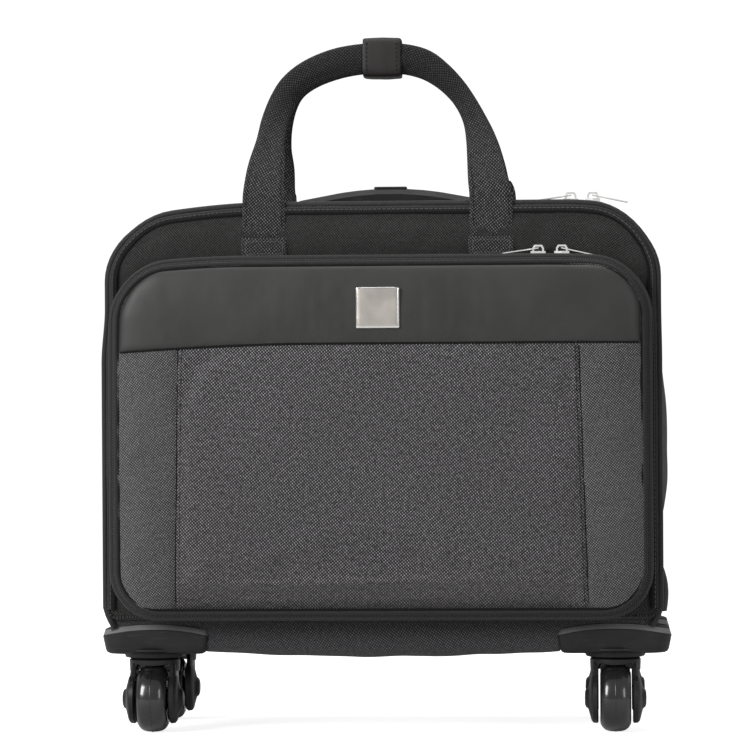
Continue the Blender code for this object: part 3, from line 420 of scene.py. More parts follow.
class Outline:
    """Rounded rectangle in the XZ plane, with one radius for its top corners and one for its lower."""

    def __init__(self, half, bottom, top, top_radius, low_radius):
        self.half = half
        self.bottom = bottom
        self.top = top
        self.top_radius = top_radius
        self.low_radius = low_radius

    def grown(self, by):
        return Outline(self.half + by, self.bottom - by, self.top + by,
                       max(self.top_radius + by, 0.001), max(self.low_radius + by, 0.001))

    def side(self, arc_steps, straight_steps):
        """Right-hand side as (x, z), from the lower corner's start up to the top corner's end."""
        points = []
        for i in range(arc_steps + 1):
            angle = math.radians(-90 + 90 * i / arc_steps)
            points.append((self.half - self.low_radius * (1 - math.cos(angle)),
                           self.bottom + self.low_radius * (1 + math.sin(angle))))
        low = self.bottom + self.low_radius
        high = self.top - self.top_radius
        for i in range(1, straight_steps):
            points.append((self.half, low + (high - low) * i / straight_steps))
        for i in range(arc_steps + 1):
            angle = math.radians(90 * i / arc_steps)
            points.append((self.half - self.top_radius * (1 - math.cos(angle)),
                           high + self.top_radius * math.sin(angle)))
        return points

    def loop(self, arc_steps, straight_steps, flat_steps):
        """The whole outline, anticlockwise seen from the front, from the middle of the bottom."""
        side = self.side(arc_steps, straight_steps)
        low_x = side[0][0]
        top_x = side[-1][0]
        bottom = [(low_x * i / flat_steps, self.bottom) for i in range(flat_steps)]
        top = [(top_x * (1 - i / flat_steps), self.top) for i in range(1, flat_steps)]
        right = bottom + side + top
        left = [(-x, z) for x, z in reversed(right[1:])]
        return right + [(0.0, self.top)] + left

    def arch(self, foot, arc_steps, straight_steps, flat_steps):
        """From the right foot over the top to the left foot."""
        side = [p for p in self.side(arc_steps, straight_steps) if p[1] > foot + 0.002]
        top_x = side[-1][0]
        right = [(self.half, foot)] + side
        right += [(top_x * (1 - i / flat_steps), self.top) for i in range(1, flat_steps)]
        return right + [(0.0, self.top)] + [(-x, z) for x, z in reversed(right)]

    def inside(self, x, z):
        """Distance from a point to the outline, positive inside."""
        radius = self.top_radius if z > (self.bottom + self.top) / 2 else self.low_radius
        dx = abs(x) - (self.half - radius)
        centre = (self.bottom + self.top) / 2
        dz = abs(z - centre) - ((self.top - self.bottom) / 2 - radius)
        outer = math.hypot(max(dx, 0.0), max(dz, 0.0))
        return radius - outer - min(max(dx, dz), 0.0)


def lengths(points):
    """Running length along a line of points."""
    total = [0.0]
    for a, b in zip(points, points[1:]):
        total.append(total[-1] + math.dist(a, b))
    return total


def respaced(points, step):
    """The same line with points an equal step apart."""
    line = np.asarray(points, float)
    run = np.concatenate(([0.0], np.cumsum(np.linalg.norm(np.diff(line, axis=0), axis=1))))
    count = max(2, int(round(run[-1] / step)) + 1)
    where = np.linspace(0.0, run[-1], count)
    return np.stack([np.interp(where, run, line[:, k]) for k in range(line.shape[1])], axis=1)


def smoothstep(value, low, high):
    t = min(max((value - low) / (high - low), 0.0), 1.0)
    return t * t * (3 - 2 * t)


def face_panel(name, outline, depth, materials, pick=None, columns=190, arc_steps=12, straight_steps=90,
               thickness=CLOTH, facing=-1):
    """Cloth panel that fills an outline; depth(x, z) gives its y, and pick(x, z) its material."""
    side = outline.side(arc_steps, straight_steps)
    points = []
    weave = []
    for width, z in side:
        for c in range(columns + 1):
            x = width * (2 * c / columns - 1)
            points.append((x, depth(x, z), z))
            weave.append((x, z))
    faces = strip_faces(len(side), columns + 1, flip=facing > 0)
    chosen = None
    if pick:
        chosen = []
        for face in faces:
            x = sum(points[i][0] for i in face) / 4
            z = sum(points[i][2] for i in face) / 4
            chosen.append(pick(x, z))
    obj = build(name, points, faces, materials, weave, chosen)
    return thicken(obj, thickness)


def wall_band(name, outline, profile, material, push=None, steps=(10, 70, 70), thickness=CLOTH, flip=False):
    """Closed cloth wall round an outline; profile lists (grow, y), push adds a local outward shift."""
    arc_steps, straight_steps, flat_steps = steps
    base = outline.loop(arc_steps, straight_steps, flat_steps)
    run = lengths(base)
    points = []
    weave = []
    for grow, y in profile:
        ring = outline.grown(grow).loop(arc_steps, straight_steps, flat_steps)
        for i, (x, z) in enumerate(ring):
            before = ring[i - 1]
            after = ring[(i + 1) % len(ring)]
            tangent = Vector((after[0] - before[0], after[1] - before[1])).normalized()
            shift = push(x, y, z, run[i]) if push else 0.0
            points.append((x + tangent.y * shift, y, z - tangent.x * shift))
            weave.append((run[i], y))
    faces = strip_faces(len(profile), len(base), wrap=True, flip=flip)
    obj = build(name, points, faces, [material], weave)
    return thicken(obj, thickness)


def tube(name, line, radius, material, sides=10, closed=False, ridged=0.0, weave_turn=0.0):
    """Round or ridged cord along a line of points; weave runs along it."""
    line = np.asarray(line, float)
    count = len(line)
    points = []
    weave = []
    run = lengths([tuple(p) for p in line])
    up = Vector((0, 1, 0))
    for i in range(count):
        before = line[(i - 1) % count] if closed or i else line[0]
        after = line[(i + 1) % count] if closed or i < count - 1 else line[-1]
        along = Vector(after - before).normalized()
        side = along.cross(up)
        if side.length < 1e-4:
            side = along.cross(Vector((1, 0, 0)))
        side.normalize()
        lift = side.cross(along)
        r = radius * (1.0 + (ridged if i % 2 else -ridged))
        for k in range(sides):
            angle = 2 * math.pi * k / sides
            offset = side * (math.cos(angle) * r) + lift * (math.sin(angle) * r)
            points.append(Vector(line[i]) + offset)
            weave.append((angle * radius + run[i] * weave_turn, run[i]))
    faces = strip_faces(count, sides, wrap=True)
    faces += ring_close(count, sides) if closed else end_caps(count, sides)
    return build(name, points, faces, [material], weave)


def stitches(name, line, normal, material, pitch=0.0034, length=0.0024, radius=0.00032, lift=0.0):
    """Row of raised stitches along a line, each a short rounded thread."""
    spots = respaced(line, pitch)
    shape = strip_faces(5, 6, wrap=True) + end_caps(5, 6)
    points = []
    faces = []
    weave = []
    for a, b in zip(spots, spots[1:]):
        centre = Vector((a + b) / 2)
        along = Vector(b - a).normalized()
        out = Vector(normal(centre) if callable(normal) else normal).normalized()
        across = along.cross(out).normalized()
        base = len(points)
        for t, size in ((-0.5, 0.25), (-0.3, 0.9), (0.0, 1.0), (0.3, 0.9), (0.5, 0.25)):
            middle = centre + along * (length * t) + out * (lift + radius * 0.5 * size)
            for k in range(6):
                angle = math.pi * k / 3
                points.append(middle + across * (math.cos(angle) * radius * size)
                              + out * (math.sin(angle) * radius * size))
                weave.append((length * t, angle * radius))
        faces += [tuple(base + k for k in face) for face in shape]
    return build(name, points, faces, [material], weave)


def turned(name, profile, centre, axis, material, segments=64, closed=False):
    """Solid of revolution about X or Z through a centre; profile is (radius, distance along)."""
    points = []
    for radius, along in profile:
        for i in range(segments):
            angle = 2 * math.pi * i / segments
            u = radius * math.cos(angle)
            v = radius * math.sin(angle)
            offset = (along, u, v) if axis == "X" else (u, v, along)
            points.append([c + o for c, o in zip(centre, offset)])
    faces = strip_faces(len(profile), segments, wrap=True, flip=axis == "Z")
    if closed:
        faces += ring_close(len(profile), segments)
    else:
        faces += [cap[::-1] for cap in end_caps(len(profile), segments)]
    return crisp(build(name, points, faces, [material]), 38)


def fix_normals(obj):
    bm = bmesh.new()
    bm.from_mesh(obj.data)
    bmesh.ops.recalc_face_normals(bm, faces=bm.faces)
    bm.to_mesh(obj.data)
    bm.free()


def crisp(obj, degrees):
    """Turn the faces outwards and keep edges sharp where they bend more than this."""
    fix_normals(obj)
    obj.data.set_sharp_from_angle(angle=math.radians(degrees))
    return obj


def ring_line(outline, y, steps=(12, 60, 60)):
    return [(x, y, z) for x, z in outline.loop(*steps)]


def ease(values, low, high):
    t = np.clip((values - low) / (high - low), 0.0, 1.0)
    return t * t * (3 - 2 * t)


def slump(obj, left, right, height, power=1.8):
    """Let the soft top corners drop and draw in; left and right are (start x, end x, drop, draw)."""
    count = len(obj.data.vertices)
    flat = np.empty(count * 3, np.float32)
    obj.data.vertices.foreach_get("co", flat)
    place = flat.reshape(count, 3)
    low, high = height
    for sign, (start, end, drop, draw) in ((-1, left), (1, right)):
        out = place[:, 0] * sign
        up = ease(place[:, 2], low, high)
        upper = ease(place[:, 2], low + 0.010, low + 0.060)
        place[:, 0] -= sign * draw * upper * ease(out, start * 0.9, end)
        place[:, 2] -= drop * up * np.clip((out - start) / (end - start), 0.0, 1.2) ** power
    obj.data.vertices.foreach_set("co", place.ravel())
    obj.data.update()


def slump_body(pieces):
    for piece in pieces:
        slump(piece, (0.090, 0.185, 0.0080, 0.0030), (0.150, 0.206, 0.0062, 0.0006), (0.290, 0.415))


def slump_pocket(pieces):
    for piece in pieces:
        slump(piece, (0.110, 0.195, 0.0048, 0.0010), (0.132, 0.200, 0.0030, 0.0), (0.300, 0.375))


# ---------------------------------------------------------------- outlines
BODY = Outline(LID_HIGH.x, LID_LOW.z, LID_HIGH.z, BODY_TOP_RADIUS, BODY_LOW_RADIUS)
POCKET = Outline(PANEL_HIGH.x, PANEL_LOW.z, PANEL_HIGH.z, POCKET_TOP_RADIUS, POCKET_LOW_RADIUS)
BAND = Outline(BAND_HIGH.x, BAND_LOW.z, BAND_HIGH.z, POCKET_TOP_RADIUS - BAND_INSET, 0.001)


# ---------------------------------------------------------------- cloth simulation
def grid_depth(outline, values, columns, heights):
    """Bilinear look-up of values held on a panel's own grid of rows and columns."""
    widths = np.array([w for w, z in heights])
    levels = np.array([z for w, z in heights])

    def look_up(x, z):
        width = np.interp(z, levels, widths)
        u = min(max((x / width + 1) / 2, 0.0), 1.0) * columns
        r = np.interp(z, levels, np.arange(len(levels)))
        c0 = min(int(u), columns - 1)
        r0 = min(int(r), len(levels) - 2)
        fu = u - c0
        fr = r - r0
        low = values[r0, c0] * (1 - fu) + values[r0, c0 + 1] * fu
        high = values[r0 + 1, c0] * (1 - fu) + values[r0 + 1, c0 + 1] * fu
        return float(low * (1 - fr) + high * fr)

    return look_up


def puff(outline, start, pinned, cap, pressure=4.0, facing=-1, columns=84, straight_steps=52, slack=0.012):
    """Blow a sewn panel up with Blender's cloth, and return how far each place moves outwards."""
    side = outline.side(7, straight_steps)
    points = []
    for width, z in side:
        for c in range(columns + 1):
            x = width * (2 * c / columns - 1)
            points.append((x, start(x, z), z))
    mesh = bpy.data.meshes.new("sewn_panel")
    mesh.from_pydata(points, [], strip_faces(len(side), columns + 1, flip=facing > 0))
    panel = bpy.data.objects.new("sewn_panel", mesh)
    bpy.context.scene.collection.objects.link(panel)
    group = panel.vertex_groups.new(name="pins")
    edge = [i for i, (x, _, z) in enumerate(points)
            if i % (columns + 1) in (0, columns) or i < columns + 1 or i >= len(points) - columns - 1
            or pinned(x, z)]
    group.add(edge, 1.0, "REPLACE")
    modifier = panel.modifiers.new("cloth", "CLOTH")
    modifier.collision_settings.use_collision = False
    cloth = modifier.settings
    cloth.vertex_group_mass = "pins"
    cloth.quality = 6
    cloth.mass = 0.25
    cloth.tension_stiffness = 18.0
    cloth.compression_stiffness = 12.0
    cloth.shear_stiffness = 6.0
    cloth.bending_stiffness = 1.2
    cloth.shrink_min = -slack
    cloth.use_pressure = True
    cloth.uniform_pressure_force = pressure
    cloth.effector_weights.gravity = 0.0
    scene = bpy.context.scene
    scene.frame_start = 1
    scene.frame_end = CLOTH_FRAMES
    for number in range(1, CLOTH_FRAMES + 1):
        scene.frame_set(number)
    settled = panel.evaluated_get(bpy.context.evaluated_depsgraph_get()).data
    moved = [(settled.vertices[i].co.y - points[i][1]) * facing for i in range(len(points))]
    bpy.data.objects.remove(panel)
    scene.frame_set(1)
    values = np.clip(np.array(moved).reshape(len(side), columns + 1), -0.3 * cap, cap)
    return grid_depth(outline, values, columns, side)


# ---------------------------------------------------------------- front pocket
def seam_x(edge, z):
    """X of a panel seam, which leans a little between its two ends."""
    t = (POCKET.top - z) / (POCKET.top - POCKET.bottom)
    return edge[0] + (edge[1] - edge[0]) * t


def crown_depth(x, z):
    """Sewn shape of the pocket's front before it is stuffed."""
    d = max(POCKET.inside(x, z), 0.0)
    rise = POCKET_RISE * (1 - math.exp(-d / 0.0085))
    crown = POCKET_CROWN * math.cos(0.5 * math.pi * x / 0.235)
    crown *= math.sin(math.pi * min(1.0, max(0.0, (z - POCKET.bottom) / 0.29)))
    under = POCKET_TUCK * (1 - smoothstep(z, POCKET.bottom + 0.004, FOLD_Z))
    under *= smoothstep(0.19 - abs(x), 0.0, 0.05)
    return PANEL_HIGH.y - 0.0052 - rise - crown + under


def band_seam(x):
    """Height of the smooth band's lower seam."""
    return BAND_LOW.z + 0.0004 - BAND_SAG * (max(-x - 0.060, 0.0) / 0.140) ** 1.6


def on_panel_seam(x, z):
    near = min(abs(x - seam_x(LEFT_SEAM_X, z)), abs(x - seam_x(RIGHT_SEAM_X, z)))
    band_line = band_seam(x)
    return (near < SEAM_PINS and z < band_line) or abs(z - band_line) < SEAM_PINS


POCKET_FACE = POCKET.grown(-0.0015)
pocket_puff = puff(POCKET_FACE, crown_depth, on_panel_seam, 0.0032)


def pocket_fullness(x, z):
    """Simulated fullness; the stiff smooth band irons its creases out."""
    over = z - band_seam(x)
    if over < 0:
        return pocket_puff(x, z) * smoothstep(POCKET.inside(x, z), 0.004, 0.014)
    spots = [(-0.030, 0.0), (-0.015, 0.0), (0.0, 0.0), (0.015, 0.0), (0.030, 0.0), (0.0, 0.010),
             (0.0, -0.010), (-0.020, 0.010), (0.020, -0.010), (-0.020, -0.010), (0.020, 0.010)]
    calm = sum(max(pocket_puff(x + dx, z + dz), 0.0) for dx, dz in spots) / len(spots)
    held = smoothstep(over, 0.0, 0.012) * smoothstep(POCKET.inside(x, z), 0.0, 0.012)
    return calm * held * 0.7


def pocket_depth(x, z):
    """Stuffed front of the pocket: sewn shape, simulated fullness, a low fold, pulled seams."""
    d = max(POCKET.inside(x, z), 0.0)
    fold_line = FOLD_Z + 0.0016 * math.sin(x * 19)
    fold = FOLD_RIDGE * math.exp(-((z - fold_line) / 0.0030) ** 2)
    fold -= 0.0010 * math.exp(-((z - fold_line + 0.007) / 0.0045) ** 2)
    fold *= smoothstep(0.175 - abs(x - 0.01), 0.0, 0.04)
    slow = 0.0009 * wobble(x, 3.1, z, 12.0) + 0.0005 * wobble(x, 7.7, z, 32.0)
    groove = 0.0
    if z < band_seam(x):
        for edge_pair in (LEFT_SEAM_X, RIGHT_SEAM_X):
            off = x - seam_x(edge_pair, z)
            groove += 0.0018 * math.exp(-(off / 0.0016) ** 2)
            slow += 0.0007 * math.exp(-abs(off) / 0.010) * wobble(x * 0.25, z, 1.7, 110.0)
    pucker = 0.0009 * math.exp(-d / 0.014) * wobble(x, 9.0, z, 75.0) * (1.0 if z < band_seam(x) else 0.25)
    return crown_depth(x, z) - pocket_fullness(x, z) - fold - slow + groove - pucker


def cloth_choice(x, z):
    return 0 if seam_x(LEFT_SEAM_X, z) < x < seam_x(RIGHT_SEAM_X, z) else 1


def build_pocket(mats):
    face = face_panel("pocket_front_cloth", POCKET_FACE, pocket_depth,
                      [mats["centre_cloth"], mats["side_cloth"]], cloth_choice, columns=230, arc_steps=36,
                      straight_steps=100)
    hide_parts("pocket_panel")
    edge_y = PANEL_HIGH.y
    rim_profile = [(-0.0016, edge_y - 0.0048), (-0.0002, edge_y - 0.0040), (0.0, edge_y - 0.0025),
                   (0.0, edge_y)]
    rim = wall_band("pocket_rim_cloth", POCKET, rim_profile, mats["tape"])
    cord = tube("pocket_piping_cord", ring_line(POCKET.grown(PIPING_OFFSET), edge_y - POCKET_CORD_RADIUS),
                POCKET_CORD_RADIUS, mats["cord"], sides=14, closed=True, weave_turn=0.2)
    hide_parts("pocket_piping")
    inner_cord = tube("pocket_inner_piping", ring_line(POCKET.grown(-0.0018), edge_y - 0.0066), 0.0019,
                      mats["tape"], sides=12, closed=True, weave_turn=0.2)
    groove = tube("pocket_seam_shadow", ring_line(POCKET.grown(-0.0042), edge_y - 0.0078), 0.0010,
                  mats["groove"], sides=8, closed=True)
    edge_line = ring_line(POCKET.grown(0.0004), edge_y - 0.0056)
    seam = stitches("pocket_piping_stitches", edge_line + edge_line[:1], (0, -1, 0), mats["thread"],
                    0.0036, 0.0027)

    def band_depth(x, z):
        d = max(BAND.inside(x, z), 0.0)
        roll = 0.0012 * (1 - math.exp(-d / 0.0016))
        return min(pocket_depth(x, z), pocket_depth(x, z - 0.001)) - 0.0005 - roll

    band = face_panel("smooth_band_cover", BAND, band_depth, [mats["band"]], columns=200, arc_steps=32,
                      straight_steps=22, thickness=0.0010)
    height = BAND.top - BAND.bottom
    for vertex in band.data.vertices:
        share = 1 - (vertex.co.z - BAND.bottom) / height
        vertex.co.z += (band_seam(vertex.co.x) - BAND_LOW.z) * min(max(share, 0.0), 1.0)
    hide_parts("smooth_band")
    seam_line = [(x, pocket_depth(x, band_seam(x) - 0.0012) - 0.0002, band_seam(x) - 0.0010)
                 for x in np.linspace(-BAND.half + 0.001, BAND.half - 0.001, 120)]
    lower_groove = tube("band_seam_shadow", seam_line, 0.0008, mats["groove"], sides=8)
    pieces = [face, rim, cord, inner_cord, groove, seam, band, lower_groove]
    for label, edge, inward in (("left", LEFT_SEAM_X, 0.0030), ("right", RIGHT_SEAM_X, -0.0030)):
        line = []
        shadow = []
        for i in range(80):
            z = POCKET.bottom + 0.010 + (BAND_LOW.z - POCKET.bottom - 0.013) * i / 79
            x = seam_x(edge, z)
            shadow.append((x, pocket_depth(x, z) - 0.0001, z))
            x += inward
            line.append((x, pocket_depth(x, z) - 0.0001, z))
        pieces.append(stitches("panel_stitches_" + label, line, (0, -1, 0), mats["dark_thread"]))
        # Near-black cord along each panel seam: painted shadow of its groove.
        pieces.append(tube("panel_seam_shadow_" + label, shadow, 0.0006, mats["groove"], sides=6))
    slump_pocket(pieces)
    ride_all(pieces, "pocket")


def build_badge(mats):
    """Plain bevelled plate with a satin face and bright edges."""
    half_w = (BADGE_HIGH.x - BADGE_LOW.x) / 2
    half_h = (BADGE_HIGH.z - BADGE_LOW.z) / 2
    centre = (BADGE_LOW.z + BADGE_HIGH.z) / 2
    front = BADGE_LOW.y - 0.0012
    plate = Outline(half_w, centre - half_h, centre + half_h, 0.0010, 0.0010)
    rings = [(-0.0040, front + 0.00004), (-0.0013, front), (-0.0010, front + 0.0001), (0.0, front + 0.0009),
             (0.0, BADGE_HIGH.y)]
    points = []
    for grow, y in rings:
        points += ring_line(plate.grown(grow), y, (4, 4, 4))
    count = len(points) // len(rings)
    faces = strip_faces(len(rings), count, wrap=True)
    chosen = [0 if i < count else 1 for i in range(len(faces))] + [0, 1]
    faces += end_caps(len(rings), count)
    badge = build("badge_plain_plate", points, faces, [mats["badge"], mats["badge_edge"]], None, chosen)
    crisp(badge, 25)
    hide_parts("badge_plate")
    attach(badge, "pocket")


# ---------------------------------------------------------------- case body
CASE_FACE = BODY.grown(-FACE_INSET)


def lid_flat(x, z):
    return LID_LOW.y + 0.0002 - 0.0012 * smoothstep(z, POCKET.top - 0.01, POCKET.top + 0.012)


def behind_pocket(x, z):
    return POCKET.inside(x, z) > -0.003


lid_puff = puff(CASE_FACE, lid_flat, behind_pocket, 0.0030, straight_steps=60)


def lid_depth(x, z):
    """Front of the case round the pocket; behind the pocket it stays flat."""
    d = max(BODY.inside(x, z), 0.0)
    strip = smoothstep(-POCKET.inside(x, z), 0.0, 0.010)
    ripple = 0.0006 * wobble(x, 2.0, z, 26.0) + 0.0006 * math.exp(-d / 0.012) * wobble(x, 5.0, z, 80.0)
    ripple *= strip
    return lid_flat(x, z) - lid_puff(x, z) * smoothstep(d, 0.006, 0.020) - ripple


def soft_push(amount, scale, seed):
    """Slow bulge and small puckers of a cloth wall, as a shift outwards."""
    def push(x, y, z, run):
        return amount * wobble(x + seed, y, z, scale) + amount * 0.35 * wobble(x, y + seed, z, scale * 4)
    return push


def side_bulge(x, y, z, run):
    """Stuffed side of the case: it swells below mid-height and lies flat by the guards."""
    depth = min(max((y - REAR_LOW.y) / (REAR_HIGH.y - REAR_LOW.y), 0.0), 1.0)
    across = math.sin(math.pi * depth) ** 0.7
    upright = smoothstep(z, 0.135, 0.205) * (1 - 0.85 * smoothstep(z, 0.245, 0.335))
    outward = smoothstep(abs(x), BODY.half - 0.030, BODY.half - 0.004)
    top = smoothstep(z, BODY.top - 0.030, BODY.top - 0.002) * smoothstep(0.060 - y, 0.0, 0.02)
    slack = wobble(x, y, z + 0.3, 15.0) * 0.0012 + wobble(x, y * 1.6, z, 42.0) * 0.0006
    return (SIDE_SWELL * upright * outward + 0.0012 * top) * across + slack * across


def frame_tape(name, outline, y, widths, mats):
    """Sewn binding inside a piping: a raised tape, its stitches, and a near-black cord where it ends,
    painted shadow of its fold.
    """
    inner, outer = widths
    centre = (inner + outer) / 2
    profile = [(outer, y + 0.0006), (outer - 0.0006, y - 0.0008), (centre, y - 0.0015),
               (inner + 0.0006, y - 0.0008), (inner, y + 0.0004)]
    tape = wall_band(name + "_tape", outline, profile, mats["tape"], thickness=TAPE, steps=FINE_STEPS)
    foot = outline.bottom + 0.006
    open_hole(tape, (-1.0, -1.0, -1.0), (1.0, 1.0, foot))
    line = [(x, y - 0.0015, z) for x, z in outline.grown(centre).arch(foot, *FINE_STEPS)]
    seam = stitches(name + "_stitches", line, (0, -1, 0), mats["thread"], STITCH_PITCH, STITCH_LENGTH)
    edge = [(x, y - 0.0006, z) for x, z in outline.grown(inner - 0.0006).arch(foot, *FINE_STEPS)]
    # Painted shadow: a near-black cord along the tape's inner edge.
    fold = tube(name + "_fold_shadow", edge, 0.0011, mats["groove"], sides=8)
    return [tape, seam, fold]


def build_front_half(mats):
    face = face_panel("front_half_face", CASE_FACE, lid_depth, [mats["body_cloth"]], arc_steps=32)
    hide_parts("lid_shell")
    front = LID_LOW.y
    rear = LID_HIGH.y
    profile = [(-FACE_INSET + 0.0030 * math.sin(math.pi * t), front + 0.0002 + (rear - front) * t)
               for t in [i / 10 for i in range(11)]]
    walls = wall_band("front_half_walls", BODY, profile, mats["body_cloth"], soft_push(0.0007, 30.0, 4.0))
    arch = BODY.grown(PIPING_OFFSET).arch(BODY.bottom + 0.008, *ARCH_STEPS)
    tuck = [(BODY.half - 0.0040, BODY.bottom - 0.0080), (BODY.half - 0.0012, BODY.bottom - 0.0030),
            (BODY.half + 0.0010, BODY.bottom + 0.0020)]
    cord_line = [(x, front + 0.0027, z) for x, z in tuck] + [(x, front + 0.0023, z) for x, z in arch]
    cord_line += [(-x, front + 0.0027, z) for x, z in reversed(tuck)]
    cord = tube("front_half_piping", cord_line, CORD_RADIUS, mats["cord"], sides=14, weave_turn=0.2)
    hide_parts("lid_piping")
    binding = frame_tape("front_half", BODY, front - 0.0006, (-0.0042, 0.0008), mats)
    lower = GUSSET_LOW.y
    upper = GUSSET_HIGH.y
    gusset = wall_band("pocket_gusset_cloth", POCKET.grown(0.0015),
                       [(0.0, lower + (upper - lower) * t) for t in (0.0, 0.2, 0.4, 0.6, 0.8, 1.0)],
                       mats["side_cloth"], soft_push(0.0006, 40.0, 9.0))
    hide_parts("pocket_gusset")
    zip_line = ring_line(POCKET.grown(0.0019), lower + 0.0022)
    coil = tube("pocket_zip_coil", respaced(zip_line + zip_line[:1], 0.0009)[:-1], 0.0013, mats["coil"],
                sides=6, closed=True, ridged=0.22)
    slump_body([face, walls, cord] + binding)
    slump_pocket([gusset, coil])
    ride_all([face, walls, cord, gusset, coil] + binding, "lid")


def open_hole(obj, low, high):
    """Remove the faces of a cloth wall that lie inside a box."""
    work = bmesh.new()
    work.from_mesh(obj.data)
    gone = []
    for face in work.faces:
        centre = face.calc_center_median()
        if all(low[k] < centre[k] < high[k] for k in range(3)):
            gone.append(face)
    bmesh.ops.delete(work, geom=gone, context="FACES")
    work.to_mesh(obj.data)
    work.free()


def build_rear_half(mats):
    front = REAR_LOW.y
    rear = REAR_HIGH.y
    bezel_low, bezel_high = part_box("trolley_bezel")
    cut_front = bezel_low.y + 0.0022
    cut_rear = bezel_high.y - 0.0022
    stations = [front + (rear - front) * i / 26 for i in range(27)]
    stations = sorted([y for y in stations if min(abs(y - cut_front), abs(y - cut_rear)) > 0.002]
                      + [cut_front, cut_rear])
    profile = [(-FACE_INSET, y) for y in stations]
    walls = wall_band("rear_half_walls", BODY, profile, mats["body_cloth"], side_bulge, steps=(12, 80, 90))
    open_hole(walls, (bezel_low.x + 0.003, cut_front, BODY.top - 0.01),
              (bezel_high.x - 0.003, cut_rear, BODY.top + 0.01))
    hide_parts("rear_shell")
    back_puff = puff(CASE_FACE, lambda x, z: rear - 0.0004, lambda x, z: False, 0.0045, pressure=2.0,
                     facing=1, columns=64, straight_steps=44, slack=0.006)

    def back_depth(x, z):
        return rear - 0.0004 + back_puff(x, z) + 0.0006 * wobble(x, 1.0, z, 20.0)

    back = face_panel("rear_half_back", CASE_FACE, back_depth, [mats["body_cloth"]], columns=150,
                      straight_steps=80, facing=1)
    cord = tube("rear_half_piping", ring_line(BODY.grown(PIPING_OFFSET), rear - 0.0023), CORD_RADIUS,
                mats["cord"], sides=14, closed=True, weave_turn=0.2)
    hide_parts("rear_piping")
    seams = [stitches("rear_wall_stitches_" + label,
                      [(x, y, z) for x, z in BODY.grown(-0.0009).arch(0.110, *ARCH_STEPS)],
                      lambda p: (p.x, 0.0, max(p.z - 0.375, 0.0) * 4), mats["thread"], STITCH_PITCH,
                      STITCH_LENGTH)
             for label, y in (("front", front + 0.0060), ("rear", rear - 0.0090))]
    slump_body([walls, back, cord] + seams)
    ride_all([walls, back, cord] + seams, "case")


def build_main_zip(mats):
    """Closed coil between the halves: one row of turns on each half."""
    chain_low, chain_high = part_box("main_zip_chain")
    closing = (chain_low.y + chain_high.y) / 2
    arch = BODY.grown(-0.0006).arch(chain_low.z, *ARCH_STEPS)
    path = BODY.grown(-FACE_INSET).arch(chain_low.z, *ARCH_STEPS)
    run = lengths(path)
    for label, body, sign, edge in (("front", "lid", -1, chain_low.y), ("rear", "case", 1, chain_high.y)):
        y = closing + sign * 0.0011
        line = respaced([(x, y, z) for x, z in arch], COIL_PITCH)
        coil = tube("main_zip_coil_" + label, line, COIL_RADIUS, mats["coil"], sides=6, ridged=0.22)
        slump_body([coil])
        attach(coil, body)
        inner = y + sign * 0.0008
        points = []
        weave = []
        for station in (inner, (inner + edge) / 2, edge + sign * 0.004):
            points += [(x, station, z) for x, z in path]
            weave += [(along, station) for along in run]
        tape = build("main_zip_tape_" + label, points, strip_faces(3, len(path), flip=sign > 0),
                     [mats["tape"]], weave)
        thicken(tape, TAPE)
        slump_body([tape])
        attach(tape, body)
        if sign > 0:
            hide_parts("main_zip_chain")


